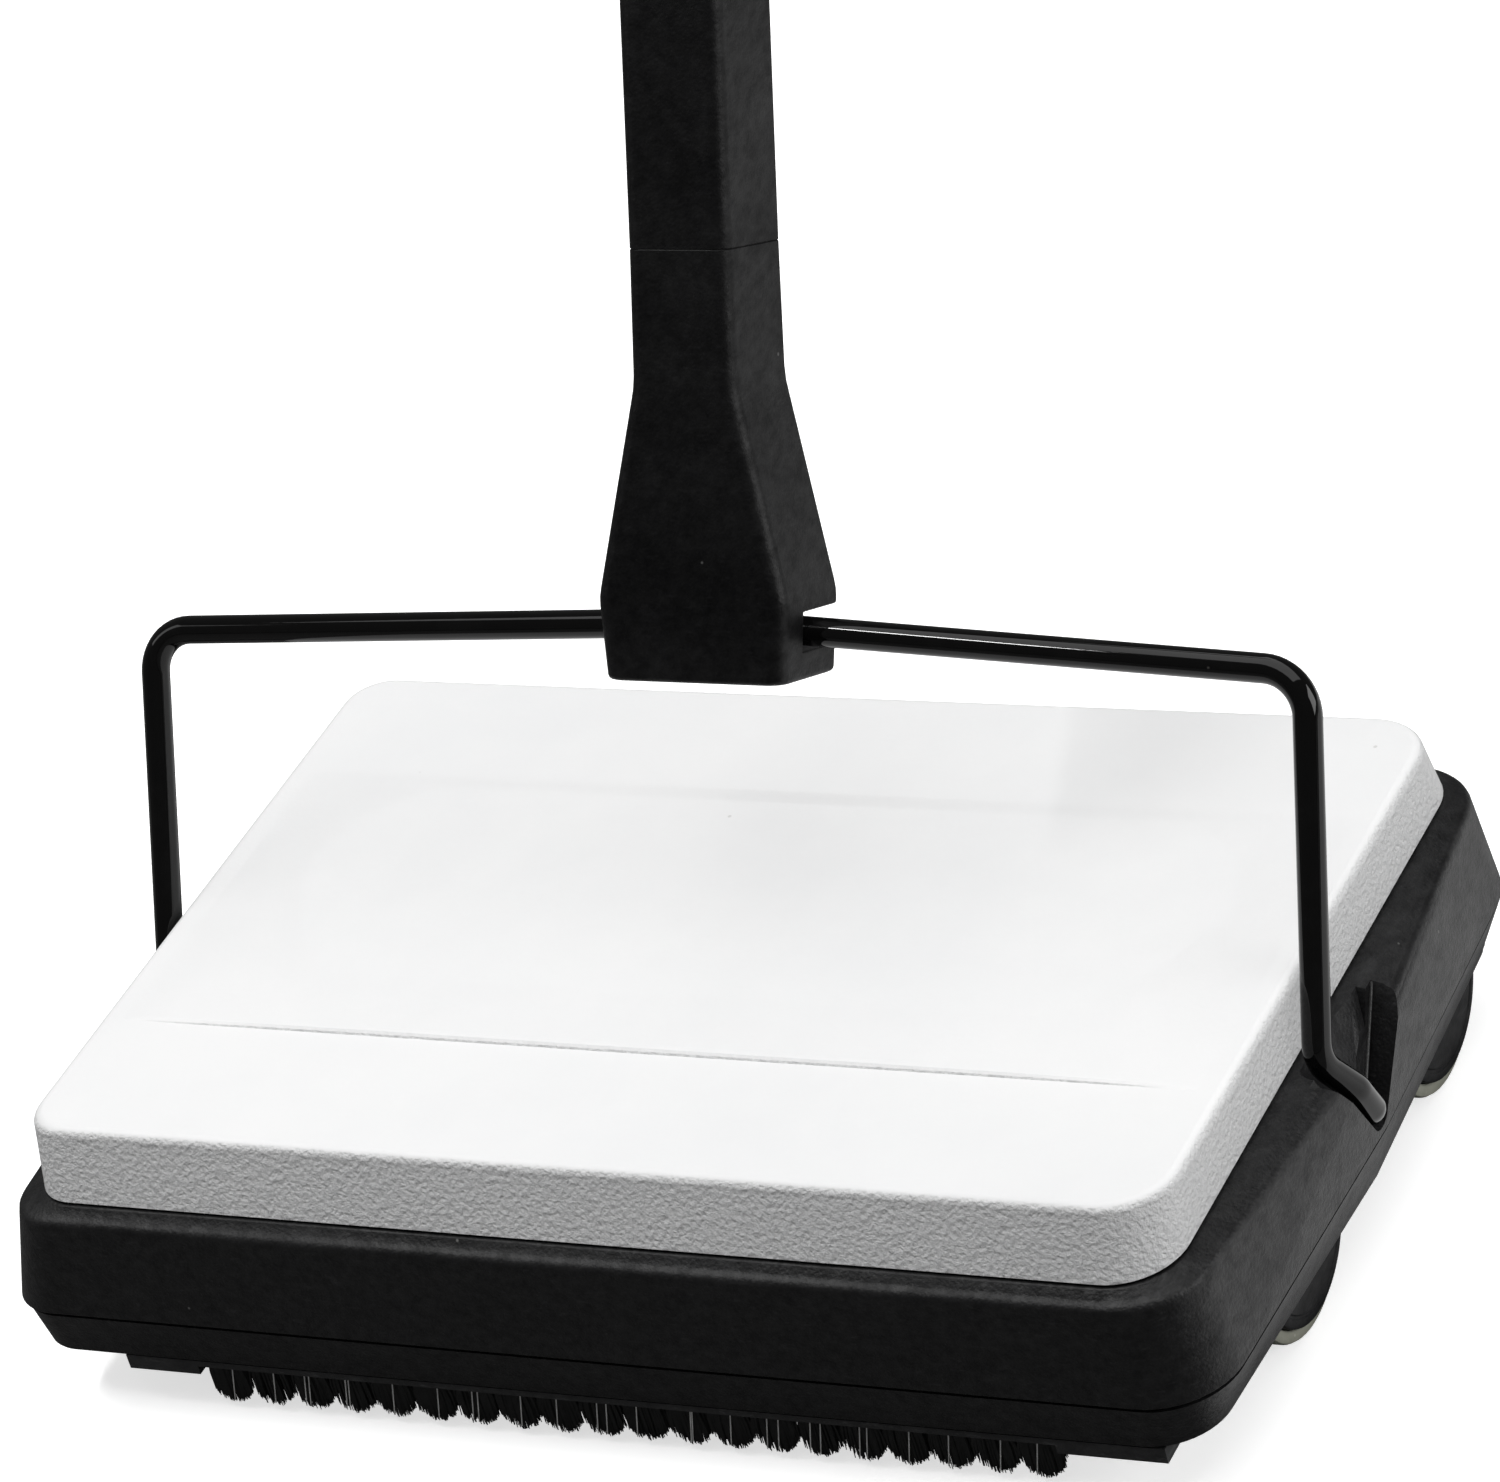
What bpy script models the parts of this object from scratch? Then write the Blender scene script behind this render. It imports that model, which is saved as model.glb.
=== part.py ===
"""Manual push sweeper: a low head with a brush roll, two dust pans and a long handle on a wire bail.

Metres, +Z up, floor at z = 0. The front of the head faces -Y and the handle leans towards +Y.
"""

from math import cos, hypot, pi, radians, sin, tan

import bmesh
import bpy
from mathutils import Matrix, Vector

MM = 0.001
GAP = 0.3 * MM

# Head outline: half width at the corners, half width at mid side, half depth, corner radius, height,
# and how far out the left end's corners stand.
BOTTOM = (136.2 * MM, 140.6 * MM, 91.5 * MM, 15 * MM, 15.5 * MM, 149.6 * MM)
STRIP = (141.8 * MM, 145.0 * MM, 94.7 * MM, 17 * MM, 29.0 * MM, 150.1 * MM)
WALL = (142.6 * MM, 145.9 * MM, 95.6 * MM, 18 * MM, 29.6 * MM, 150.9 * MM)
CREST = (139.6 * MM, 149.2 * MM, 94.4 * MM, 18 * MM, 55.0 * MM, 143.4 * MM)
LEFT_TIGHT = 0.67
LID_LEFT = 1.0 * MM
SHELL = 2.4 * MM
DECK_TOP = 57.2 * MM
DECK_UNDER = 54.4 * MM
FLANGE_TOP = 18.0 * MM
CHAMBER_X = 119.0 * MM
CHAMBER_Y = 84.0 * MM
BULKHEAD = 2.5 * MM

# Lid: half widths and half depths at its foot and under its rounded top edge.
LID_FOOT = (136.2 * MM, 90.2 * MM, 15 * MM, 57.5 * MM)
LID_TOP = (136.4 * MM, 85.9 * MM, 15 * MM, 74.6 * MM)
LID_EDGE = 2.4 * MM
LID_WALL = 2.2 * MM

# Running gear.
WHEEL_R = 24.5 * MM
TYRE_WALL = 3.3 * MM
TYRE_WIDTH = 8.0 * MM
TYRE_FACE = 134.4 * MM
HUB_PROUD = 1.7 * MM
HUB_BORE = 2.4 * MM
AXLE_R = 2.1 * MM
WHEEL_SPREAD = 42.0 * MM
BRUSH_Y = 12.5 * MM
BRUSH_Z = 25.5 * MM
BRUSH_R = 25.0 * MM
BRUSH_HALF = 116.0 * MM
CORE_R = 9.0 * MM
SHAFT_R = 3.0 * MM
DRIVE_R = hypot(WHEEL_SPREAD, BRUSH_Z - WHEEL_R) - WHEEL_R - GAP

# Dust pans.
PAN_HALF = 117.5 * MM
PAN_WALL = 1.8 * MM
PAN_FLOOR = 13.2 * MM
PAN_LIP = 31.0 * MM
PAN_BACK = 42.0 * MM
PAN_PIN_Z = 22.0 * MM
PAN_PIN_R = 2.0 * MM

# Edge bristles.
RAIL_HALF = 126.5 * MM
RAIL_Y = 87.6 * MM
RAIL_TOP = 15.2 * MM
RAIL_FOOT = 11.4 * MM
RAIL_MIDDLE = 13.6 * MM
TUFTS = 20
TUFT_PITCH = 10.44 * MM
TUFT_TIP = 2.6 * MM
TUFT_SHIFT = 3.5 * MM

# Bail. The foot of each leg runs from its pivot up to a knee, where the wire turns back into the leg,
# so the legs and the handle stand in front of a line through the pivot.
PIVOT_Y = -3.0 * MM
PIVOT_Z = 35.5 * MM
LEAN = radians(27.0)
FORWARD_LEAN = radians(24.5)
BACK_LEAN = radians(67.0)
WIRE_R = 3.2 * MM
LEG_X = 141.2 * MM
FOOT_X = 145.3 * MM
PIN_END_X = 138.8 * MM
KNEE_HEIGHT = 14.6 * MM
HANDLE_FORWARD = 20.3 * MM

# V-shaped pocket in each side of the housing, in which the foot of the bail swings.
POCKET_X = 141.7 * MM
POCKET_FOOT_Z = 30.3 * MM
POCKET_FRONT = radians(-40.0)
POCKET_BACK = radians(41.0)

# Handle. Lengths run up the handle from its datum, which lies HANDLE_RISE above the pivot.
HANDLE_RISE = 5.35 * MM
HANDLE_X = 3.5 * MM
BAIL_TOP = 91.3 * MM
BAIL_RISE = 6.0 * MM
YOKE_FOOT = 86.0 * MM
YOKE_WIDE = 104.0 * MM
YOKE_NECK = 149.0 * MM
YOKE_END = 179.0 * MM
YOKE_HALF = 23.0 * MM
TUBE_HALF_X = 12.3 * MM
TUBE_HALF_Y = 13.4 * MM
TUBE_CORNER = 3.6 * MM
TUBE_WALL = 1.2 * MM
SECTION_ENDS = (179 * MM, 470 * MM, 760 * MM, 1040 * MM)
GRIP_START = 905 * MM
GRIP_END = 1032 * MM
SLOT_LOW = BAIL_TOP + 0.9 * MM
SLOT_HIGH = BAIL_TOP + 9.5 * MM


# ---------------------------------------------------------------- scene and materials

def clear_scene():
    for thing in list(bpy.data.objects):
        bpy.data.objects.remove(thing, do_unlink=True)


def new_collection(name):
    collection = bpy.data.collections.new(name)
    bpy.context.scene.collection.children.link(collection)
    return collection


clear_scene()
PARTS = new_collection("carpet_sweeper")
CUTTERS = new_collection("cutters")


def material(name, colour, roughness, metallic=0.0):
    made = bpy.data.materials.new(name)
    made.use_nodes = True
    shader = made.node_tree.nodes["Principled BSDF"]
    shader.inputs["Base Color"].default_value = (*colour, 1.0)
    shader.inputs["Roughness"].default_value = roughness
    shader.inputs["Metallic"].default_value = metallic
    return made


BLACK_PLASTIC = material("black_plastic", (0.012, 0.012, 0.013), 0.55)
WHITE_PLASTIC = material("white_plastic", (0.83, 0.83, 0.83), 0.5)
GREY_PLASTIC = material("grey_plastic", (0.05, 0.05, 0.055), 0.5)
PAINTED_WIRE = material("painted_wire", (0.006, 0.006, 0.006), 0.2)
STEEL = material("steel", (0.55, 0.56, 0.58), 0.35, 1.0)
TYRE_RUBBER = material("tyre_rubber", (0.28, 0.28, 0.23), 0.8)
DRIVE_RUBBER = material("drive_rubber", (0.02, 0.02, 0.02), 0.85)
BRISTLE = material("bristle", (0.01, 0.01, 0.01), 0.6)
GRIP_RUBBER = material("grip_rubber", (0.02, 0.02, 0.021), 0.8)


# ---------------------------------------------------------------- mesh helpers

def add_object(name, mesh, paint, parent=None, collection=PARTS):
    thing = bpy.data.objects.new(name, mesh)
    collection.objects.link(thing)
    thing.parent = parent
    if paint:
        mesh.materials.append(paint)
    if collection is CUTTERS:
        thing.hide_render = True
        thing.display_type = "WIRE"
    return thing


def mesh_from(bm, name, smooth=False):
    bmesh.ops.recalc_face_normals(bm, faces=bm.faces)
    mesh = bpy.data.meshes.new(name)
    bm.to_mesh(mesh)
    bm.free()
    if smooth:
        mesh.shade_smooth()
        mesh.set_sharp_from_angle(angle=radians(32))
    return mesh


def arc(centre, start, end, radius, steps):
    """Points on the shorter arc between two directions from its centre."""
    first, last = start.normalized(), end.normalized()
    return [centre + first.slerp(last, step / steps) * radius for step in range(steps + 1)]


def rounded(corners, radii, steps):
    """Outline through the corners, each replaced by an arc of the given radius."""
    points = []
    count = len(corners)
    for i, (corner, radius) in enumerate(zip(corners, radii)):
        here = Vector(corner)
        before = (Vector(corners[i - 1]) - here).normalized()
        after = (Vector(corners[(i + 1) % count]) - here).normalized()
        half = before.angle(after) / 2
        centre = here + (before + after).normalized() * radius / sin(half)
        start = here + before * radius / tan(half) - centre
        end = here + after * radius / tan(half) - centre
        points += arc(centre, start, end, radius, steps)
    return points


def box_outline(half_x, half_y, radius, steps=4):
    corners = [(-half_x, -half_y), (half_x, -half_y), (half_x, half_y), (-half_x, half_y)]
    return rounded(corners, [radius] * 4, steps)


def head_outline(level, inset=0.0, steps=5):
    """Plan of the head: a rectangle with soft corners whose sides swell to a crease at mid side."""
    corner_x, mid_x, half_y, radius, _, left_x = level
    corner_x, mid_x, half_y, left_x = (size - inset for size in (corner_x, mid_x, half_y, left_x))
    left_mid = max(mid_x, left_x + 1.0 * MM)
    corners = [(-left_x, -half_y), (corner_x, -half_y), (mid_x, 0.0),
               (corner_x, half_y), (-left_x, half_y), (-left_mid, 0.0)]
    soft = radius - inset * 0.6
    tight = soft * LEFT_TIGHT
    return rounded(corners, [tight, soft, 9 * MM, soft, tight, 9 * MM], steps)


def loft(name, rings, paint, parent=None, collection=PARTS, smooth=True):
    """Closed skin through outlines of equal point counts, each paired with its height."""
    bm = bmesh.new()
    loops = [[bm.verts.new((p[0], p[1], height)) for p in outline] for outline, height in rings]
    for low, high in zip(loops, loops[1:]):
        for i in range(len(low)):
            j = (i + 1) % len(low)
            bm.faces.new((low[i], low[j], high[j], high[i]))
    bm.faces.new(reversed(loops[0]))
    bm.faces.new(loops[-1])
    return add_object(name, mesh_from(bm, name, smooth), paint, parent, collection)


def box(name, low, high, paint=None, parent=None, collection=CUTTERS):
    bm = bmesh.new()
    bmesh.ops.create_cube(bm, size=1.0)
    size = Vector(high) - Vector(low)
    bmesh.ops.scale(bm, vec=size, verts=bm.verts)
    bmesh.ops.translate(bm, vec=(Vector(high) + Vector(low)) / 2, verts=bm.verts)
    return add_object(name, mesh_from(bm, name), paint, parent, collection)


def rod(name, radius, start, end, paint=None, parent=None, collection=CUTTERS, sides=20):
    """Round bar between two points."""
    start, end = Vector(start), Vector(end)
    along = end - start
    bm = bmesh.new()
    bmesh.ops.create_cone(bm, cap_ends=True, segments=sides, radius1=radius, radius2=radius,
                          depth=along.length)
    turn = along.to_track_quat("Z", "Y").to_matrix().to_4x4()
    bmesh.ops.transform(bm, matrix=Matrix.Translation((start + end) / 2) @ turn, verts=bm.verts)
    return add_object(name, mesh_from(bm, name, True), paint, parent, collection)


def prism(name, outline, start_x, end_x, paint=None, parent=None, collection=CUTTERS):
    """Outline in the YZ plane, extruded along X."""
    bm = bmesh.new()
    face = bm.faces.new([bm.verts.new((start_x, y, z)) for y, z in outline])
    grown = bmesh.ops.extrude_face_region(bm, geom=[face])["geom"]
    moved = [v for v in grown if isinstance(v, bmesh.types.BMVert)]
    bmesh.ops.translate(bm, vec=(end_x - start_x, 0, 0), verts=moved)
    return add_object(name, mesh_from(bm, name), paint, parent, collection)


def turned(name, profile, paint, parent=None, closed=False, steps=24):
    """Shape of revolution about its own Z from (radius, height) points, outer side top to bottom."""
    mesh = bpy.data.meshes.new(name)
    count = len(profile)
    edges = [(i, (i + 1) % count) for i in range(count if closed else count - 1)]
    mesh.from_pydata([(r, 0.0, h) for r, h in profile], edges, [])
    thing = add_object(name, mesh, paint, parent)
    screw = thing.modifiers.new("turn", "SCREW")
    screw.steps = steps
    screw.render_steps = steps
    screw.use_merge_vertices = True
    screw.merge_threshold = 0.00005
    screw.use_smooth_shade = True
    return thing


def boolean(target, tool, operation="DIFFERENCE"):
    modifier = target.modifiers.new(tool.name, "BOOLEAN")
    modifier.operation = operation
    modifier.solver = "EXACT"
    modifier.object = tool
    return target


def wire(name, points, radius, paint, parent=None, sides=3):
    """Round wire along the points, with flat ends."""
    curve = bpy.data.curves.new(name, "CURVE")
    curve.dimensions = "3D"
    curve.bevel_depth = radius
    curve.bevel_resolution = sides
    curve.use_fill_caps = True
    curve.render_resolution_u = 0
    spline = curve.splines.new("POLY")
    spline.points.add(len(points) - 1)
    for knot, point in zip(spline.points, points):
        knot.co = (*point, 1.0)
    return add_object(name, curve, paint, parent)


def bend(points, radii, steps):
    """Path through the points with each inner corner replaced by an arc."""
    path = [Vector(points[0])]
    for i in range(1, len(points) - 1):
        here = Vector(points[i])
        before = (Vector(points[i - 1]) - here).normalized()
        after = (Vector(points[i + 1]) - here).normalized()
        half = before.angle(after) / 2
        radius = radii[i - 1]
        centre = here + (before + after).normalized() * radius / sin(half)
        start = here + before * radius / tan(half) - centre
        end = here + after * radius / tan(half) - centre
        path += arc(centre, start, end, radius, steps)
    path.append(Vector(points[-1]))
    return path


def empty(name, location=(0, 0, 0), rotation=(0, 0, 0), parent=None):
    thing = bpy.data.objects.new(name, None)
    PARTS.objects.link(thing)
    thing.location = location
    thing.rotation_euler = rotation
    thing.parent = parent
    return thing


# ---------------------------------------------------------------- head

def on_bail(lean, forward, height):
    """Point in the head's YZ plane that is forward of and above the bail's pivot at that lean."""
    return (PIVOT_Y - forward * cos(lean) + height * sin(lean),
            PIVOT_Z + forward * sin(lean) + height * cos(lean))


def hull(name, points, root):
    """Cutter that is the convex hull of the points."""
    bm = bmesh.new()
    for point in points:
        bm.verts.new(point)
    made = bmesh.ops.convex_hull(bm, input=bm.verts)
    loose = {v for v in made["geom_interior"] + made["geom_unused"] if isinstance(v, bmesh.types.BMVert)}
    bmesh.ops.delete(bm, geom=list(loose), context="VERTS")
    return add_object(name, mesh_from(bm, name), None, root, CUTTERS)


def bail_pocket(side, root):
    """Open V in the side wall, round at its foot and at the top of its rear face."""
    radius = 3.9 * MM
    centres = [(PIVOT_Y, PIVOT_Z)]
    rise = 30 * MM
    centres += [(PIVOT_Y + rise * tan(POCKET_FRONT) + radius, POCKET_FOOT_Z + rise + 8 * MM),
                (PIVOT_Y + rise * tan(POCKET_BACK) - radius, POCKET_FOOT_Z + rise + 8 * MM)]
    points = []
    for y, z in centres:
        for step in range(12):
            a = step * pi / 6
            for x in (POCKET_X, FOOT_X + 12 * MM):
                points.append((side * x, y + radius * cos(a), z + radius * sin(a)))
    return hull(f"pocket_{side}", points, root)


def knee_sweep(side, root):
    """Room for the knee of the bail, as the hull of its swept positions."""
    clear = WIRE_R + 0.7 * MM
    route = [(FOOT_X, 0.45), (LEG_X, 1.0), (LEG_X, 1.6), (LEG_X + 12 * MM, 1.6), (FOOT_X + 8 * MM, 0.45)]
    points = []
    for lean in (FORWARD_LEAN, (FORWARD_LEAN + BACK_LEAN) / 2, BACK_LEAN):
        for x, share in route:
            foot = min(share, 1.0)
            height = KNEE_HEIGHT * foot + 22 * MM * (share - foot)
            y, z = on_bail(lean, HANDLE_FORWARD * foot, height)
            for inward, around in ((0.0, 1.0), (0.5, 0.87), (0.87, 0.5)):
                for step in range(12):
                    a = step * pi / 6
                    r = clear * around
                    points.append((side * (x - clear * inward), y + r * cos(a), z + r * sin(a)))
    return hull(f"knee_sweep_{side}", points, root)


def split_quads(thing):
    """Triangles instead of quads, so that every face is flat before anything is cut from it."""
    bm = bmesh.new()
    bm.from_mesh(thing.data)
    bmesh.ops.triangulate(bm, faces=[face for face in bm.faces if len(face.verts) == 4])
    bm.to_mesh(thing.data)
    bm.free()
    return thing


def head_cavity(name, low_x, high_x, root):
    """Hollow of the housing between two planes across it."""
    levels = ((BOTTOM, FLANGE_TOP), (STRIP, STRIP[4]), (CREST, DECK_UNDER))
    rings = [(head_outline(level, SHELL), height) for level, height in levels]
    cavity = split_quads(loft(name, rings, None, root, CUTTERS, smooth=False))
    bounds = box(f"{name}_bounds", (low_x, -97 * MM, 0), (high_x, 97 * MM, 70 * MM), parent=root)
    boolean(cavity, bounds, "INTERSECT")
    return cavity


def end_cavity(side, root):
    """Hollow between a bulkhead and the end wall, kept clear of the boss behind the bail recess."""
    near, far = side * (CHAMBER_X + BULKHEAD), side * 165 * MM
    cavity = head_cavity(f"end_cavity_{side}", min(near, far), max(near, far), root)
    near, far = side * 136.4 * MM, side * 170 * MM
    low = (min(near, far), PIVOT_Y - 30 * MM, 26 * MM)
    high = (max(near, far), PIVOT_Y + 32 * MM, 75 * MM)
    boolean(cavity, box(f"boss_{side}", low, high, parent=root))
    return cavity


def base_housing(root):
    rings = [(head_outline(BOTTOM, 0.9 * MM), BOTTOM[4]),
             (head_outline(BOTTOM, 0.0), BOTTOM[4] + 1.0 * MM),
             (head_outline(STRIP), STRIP[4]),
             (head_outline(WALL), WALL[4]),
             (head_outline(CREST), CREST[4] - 1.4 * MM),
             (head_outline(CREST, 0.5 * MM), CREST[4] - 0.3 * MM),
             (head_outline(CREST, 1.6 * MM), CREST[4] + 0.3 * MM)]
    foot_x, foot_y, foot_radius, _ = LID_FOOT
    rings.append((lid_plan(foot_x, foot_y, foot_radius), DECK_TOP))
    housing = split_quads(loft("base_housing", rings, BLACK_PLASTIC, root))
    for side in (-1, 1):
        boolean(housing, knee_sweep(side, root))
        boolean(housing, bail_pocket(side, root))
        pin_start = (side * (PIN_END_X - GAP), PIVOT_Y, PIVOT_Z)
        pin_end = (side * FOOT_X, PIVOT_Y, PIVOT_Z)
        boolean(housing, rod(f"pivot_hole_{side}", WIRE_R + GAP, pin_start, pin_end, parent=root))
    boolean(housing, head_cavity("chamber", -CHAMBER_X, CHAMBER_X, root))
    for side in (-1, 1):
        boolean(housing, end_cavity(side, root))
    mouth = box_outline(CHAMBER_X, CHAMBER_Y, 2 * MM, 3)
    boolean(housing, loft("chamber_mouth", [(mouth, 0.0), (mouth, 30 * MM)],
                          None, root, CUTTERS, smooth=False))
    for side in (-1, 1):
        near, far = side * (CHAMBER_X + BULKHEAD), side * (TYRE_FACE + HUB_PROUD + 0.6 * MM)
        reach = WHEEL_SPREAD + WHEEL_R + 1 * MM
        low = (min(near, far), BRUSH_Y - reach, 0)
        high = (max(near, far), BRUSH_Y + reach, 50.2 * MM)
        boolean(housing, box(f"wheel_bay_{side}", low, high, parent=root))
        for y, z, radius in bulkhead_holes():
            start = (side * (CHAMBER_X - 4 * MM), y, z)
            end = (side * (CHAMBER_X + BULKHEAD + 2 * MM), y, z)
            boolean(housing, rod("hole", radius, start, end, parent=root))
    for x, y in lid_screw_places():
        boolean(housing, rod("screw_hole", 1.9 * MM, (x, y, 50 * MM), (x, y, 60 * MM), parent=root))
    return housing


def bulkhead_holes():
    """Places and radii of the round holes through each bulkhead."""
    holes = [(BRUSH_Y, BRUSH_Z, 6.0 * MM)]
    holes += [(BRUSH_Y + s * WHEEL_SPREAD, WHEEL_R, AXLE_R + GAP) for s in (-1, 1)]
    holes += [(s * pan_pin_y(), PAN_PIN_Z, PAN_PIN_R + GAP) for s in (-1, 1)]
    return holes


def lid_plan(half_x, half_y, radius, inset=0.0, steps=5):
    """Plan of the lid with as many points as the plan of the head."""
    half_x, half_y = half_x - inset, half_y - inset
    left_x = half_x + LID_LEFT
    corners = [(-left_x, -half_y), (half_x, -half_y), (half_x + 0.05 * MM, 0.0),
               (half_x, half_y), (-left_x, half_y), (-left_x - 0.05 * MM, 0.0)]
    soft = radius - inset * 0.8
    tight = soft * LEFT_TIGHT
    return rounded(corners, [tight, soft, 9 * MM, soft, tight, 9 * MM], steps)


def lid_screw_places():
    return [(x * 108 * MM, y * 74 * MM) for x in (-1, 1) for y in (-1, 1)]


def lid_cover(root):
    foot_x, foot_y, foot_radius, foot_z = LID_FOOT
    top_x, top_y, top_radius, top_z = LID_TOP
    rings = [(lid_plan(foot_x, foot_y, foot_radius), foot_z)]
    for step in range(5):
        a = step * pi / 8
        inset = LID_EDGE * (1 - cos(a))
        rings.append((lid_plan(top_x, top_y, top_radius, inset), top_z - LID_EDGE * (1 - sin(a))))
    lid = loft("lid_cover", rings, WHITE_PLASTIC, root)
    hollow = [(lid_plan(foot_x, foot_y, foot_radius, LID_WALL), foot_z - 2 * MM),
              (lid_plan(top_x, top_y, top_radius, LID_WALL + 0.6 * MM), top_z - LID_WALL)]
    boolean(lid, loft("lid_hollow", hollow, None, root, CUTTERS, smooth=False))
    for i, (x, y) in enumerate(lid_screw_places()):
        boss = rod(f"lid_boss_{i}", 4.2 * MM, (x, y, foot_z), (x, y, top_z - 1.0 * MM), parent=root)
        boolean(lid, boss, "UNION")
        hole = rod(f"lid_pilot_{i}", 1.6 * MM, (x, y, foot_z - MM), (x, y, top_z - 5 * MM), parent=root)
        boolean(lid, hole)
    return lid


def lid_screws(root):
    head_top = DECK_UNDER - GAP
    profile = [(0, 68 * MM), (1.3 * MM, 66.5 * MM), (1.3 * MM, head_top), (3.4 * MM, head_top),
               (3.0 * MM, head_top - 1.8 * MM), (0, head_top - 2.2 * MM)]
    names = ("front_left", "rear_left", "front_right", "rear_right")
    for name, (x, y) in zip(names, lid_screw_places()):
        screw = turned(f"lid_screw_{name}", profile, STEEL, root, steps=12)
        screw.location = (x, y, 0)


# ---------------------------------------------------------------- wheels and brush roll

def wheel_places():
    """Name, side and axle point of each wheel."""
    for end, along in (("front", -1), ("rear", 1)):
        for hand, side in (("left", -1), ("right", 1)):
            yield f"{end}_{hand}", side, (0.0, BRUSH_Y + along * WHEEL_SPREAD, WHEEL_R)


def wheel_sets(root):
    rim = WHEEL_R - TYRE_WALL
    inner = TYRE_FACE - TYRE_WIDTH
    outer = TYRE_FACE + HUB_PROUD
    tyre = [(rim + GAP, TYRE_FACE), (WHEEL_R - 0.7 * MM, TYRE_FACE), (WHEEL_R, TYRE_FACE - 0.8 * MM),
            (WHEEL_R, inner + 0.8 * MM), (WHEEL_R - 0.7 * MM, inner), (rim + GAP, inner)]
    hub = [(HUB_BORE, outer - 1.6 * MM), (6 * MM, outer - 1.6 * MM), (6.6 * MM, outer),
           (rim - 0.5 * MM, outer), (rim, outer - 0.6 * MM), (rim, inner + 0.4 * MM),
           (rim - 2.2 * MM, inner + 0.4 * MM), (rim - 2.2 * MM, outer - 2.6 * MM),
           (5 * MM, outer - 2.6 * MM), (5 * MM, inner - 1.5 * MM), (HUB_BORE, inner - 1.5 * MM)]
    head = outer - 1.2 * MM
    axle = [(0, head + 1.2 * MM), (3.6 * MM, head + 0.8 * MM), (4.2 * MM, head), (AXLE_R, head),
            (AXLE_R, CHAMBER_X - 0.9 * MM), (0, CHAMBER_X - 0.9 * MM)]
    for name, side, place in wheel_places():
        turn = (0, side * pi / 2, 0)
        centre = empty(f"wheel_axis_{name}", place, turn, root)
        turned(f"tyre_{name}", tyre, TYRE_RUBBER, centre, closed=True)
        turned(f"wheel_hub_{name}", hub, GREY_PLASTIC, centre, closed=True)
        pin = turned(f"wheel_axle_{name}", axle, STEEL, root, steps=14)
        pin.location = place
        pin.rotation_euler = turn


def brush_roll(root):
    axis = empty("brush_axis", (0, BRUSH_Y, BRUSH_Z), (0, pi / 2, 0), root)
    shaft_end = TYRE_FACE
    profile = [(0, shaft_end), (SHAFT_R, shaft_end - 0.6 * MM), (SHAFT_R, -shaft_end + 0.6 * MM),
               (0, -shaft_end)]
    turned("brush_shaft", profile, STEEL, axis, steps=16)
    bore = SHAFT_R + GAP
    core = [(bore, BRUSH_HALF + MM), (CORE_R, BRUSH_HALF + MM), (CORE_R, -BRUSH_HALF - MM),
            (bore, -BRUSH_HALF - MM)]
    turned("brush_core", core, GREY_PLASTIC, axis, closed=True, steps=24)
    brush_bristles(axis)
    for hand, side in (("left", -1), ("right", 1)):
        spot = empty(f"ring_axis_{hand}", (0, 0, 0), (0, 0 if side > 0 else pi, 0), axis)
        low, high = TYRE_FACE - TYRE_WIDTH, TYRE_FACE - 1.0 * MM
        ring = [(bore, high), (DRIVE_R - 0.6 * MM, high), (DRIVE_R, high - 0.7 * MM),
                (DRIVE_R, low + 0.7 * MM), (DRIVE_R - 0.6 * MM, low), (bore, low)]
        turned(f"drive_ring_{hand}", ring, DRIVE_RUBBER, spot, closed=True)
        inner, outer = CHAMBER_X - 0.9 * MM, CHAMBER_X + BULKHEAD + 2.4 * MM
        bush = [(bore, outer), (5.7 * MM, outer), (5.7 * MM, CHAMBER_X - GAP), (7.6 * MM, CHAMBER_X - GAP),
                (7.6 * MM, inner - 0.6 * MM), (bore, inner - 0.6 * MM)]
        holder = empty(f"bush_axis_{hand}", (0, BRUSH_Y, BRUSH_Z), (0, side * pi / 2, 0), root)
        turned(f"brush_bush_{hand}", bush, WHITE_PLASTIC, holder, closed=True, steps=20)


def brush_bristles(axis):
    """Four bristle rows that wind a quarter turn along the roll, as one lobed sleeve."""
    lobes, sides, stations = 4, 24, 10
    valley = 12.5 * MM
    bm = bmesh.new()
    loops = []
    for station in range(stations + 1):
        share = station / stations
        height = (share * 2 - 1) * (BRUSH_HALF - MM)
        loop = []
        for i in range(sides):
            a = i * 2 * pi / sides
            swell = max(0.0, cos(lobes * a)) ** 0.7
            r = valley + (BRUSH_R - valley) * swell
            twist = a + share * pi / 2
            loop.append(bm.verts.new((r * cos(twist), r * sin(twist), height)))
        loops.append(loop)
    for low, high in zip(loops, loops[1:]):
        for i in range(sides):
            j = (i + 1) % sides
            bm.faces.new((low[i], low[j], high[j]))
            bm.faces.new((low[i], high[j], high[i]))
    bm.faces.new(reversed(loops[0]))
    bm.faces.new(loops[-1])
    sleeve = add_object("brush_bristles", mesh_from(bm, "brush_bristles"), BRISTLE, axis)
    bore = rod("brush_bore", CORE_R + GAP, (0, 0, -BRUSH_HALF - 5 * MM), (0, 0, BRUSH_HALF + 5 * MM),
               parent=axis, sides=24)
    return boolean(sleeve, bore)


# ---------------------------------------------------------------- dust pans

def pan_pin_y():
    return CHAMBER_Y - 7.5 * MM


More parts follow.
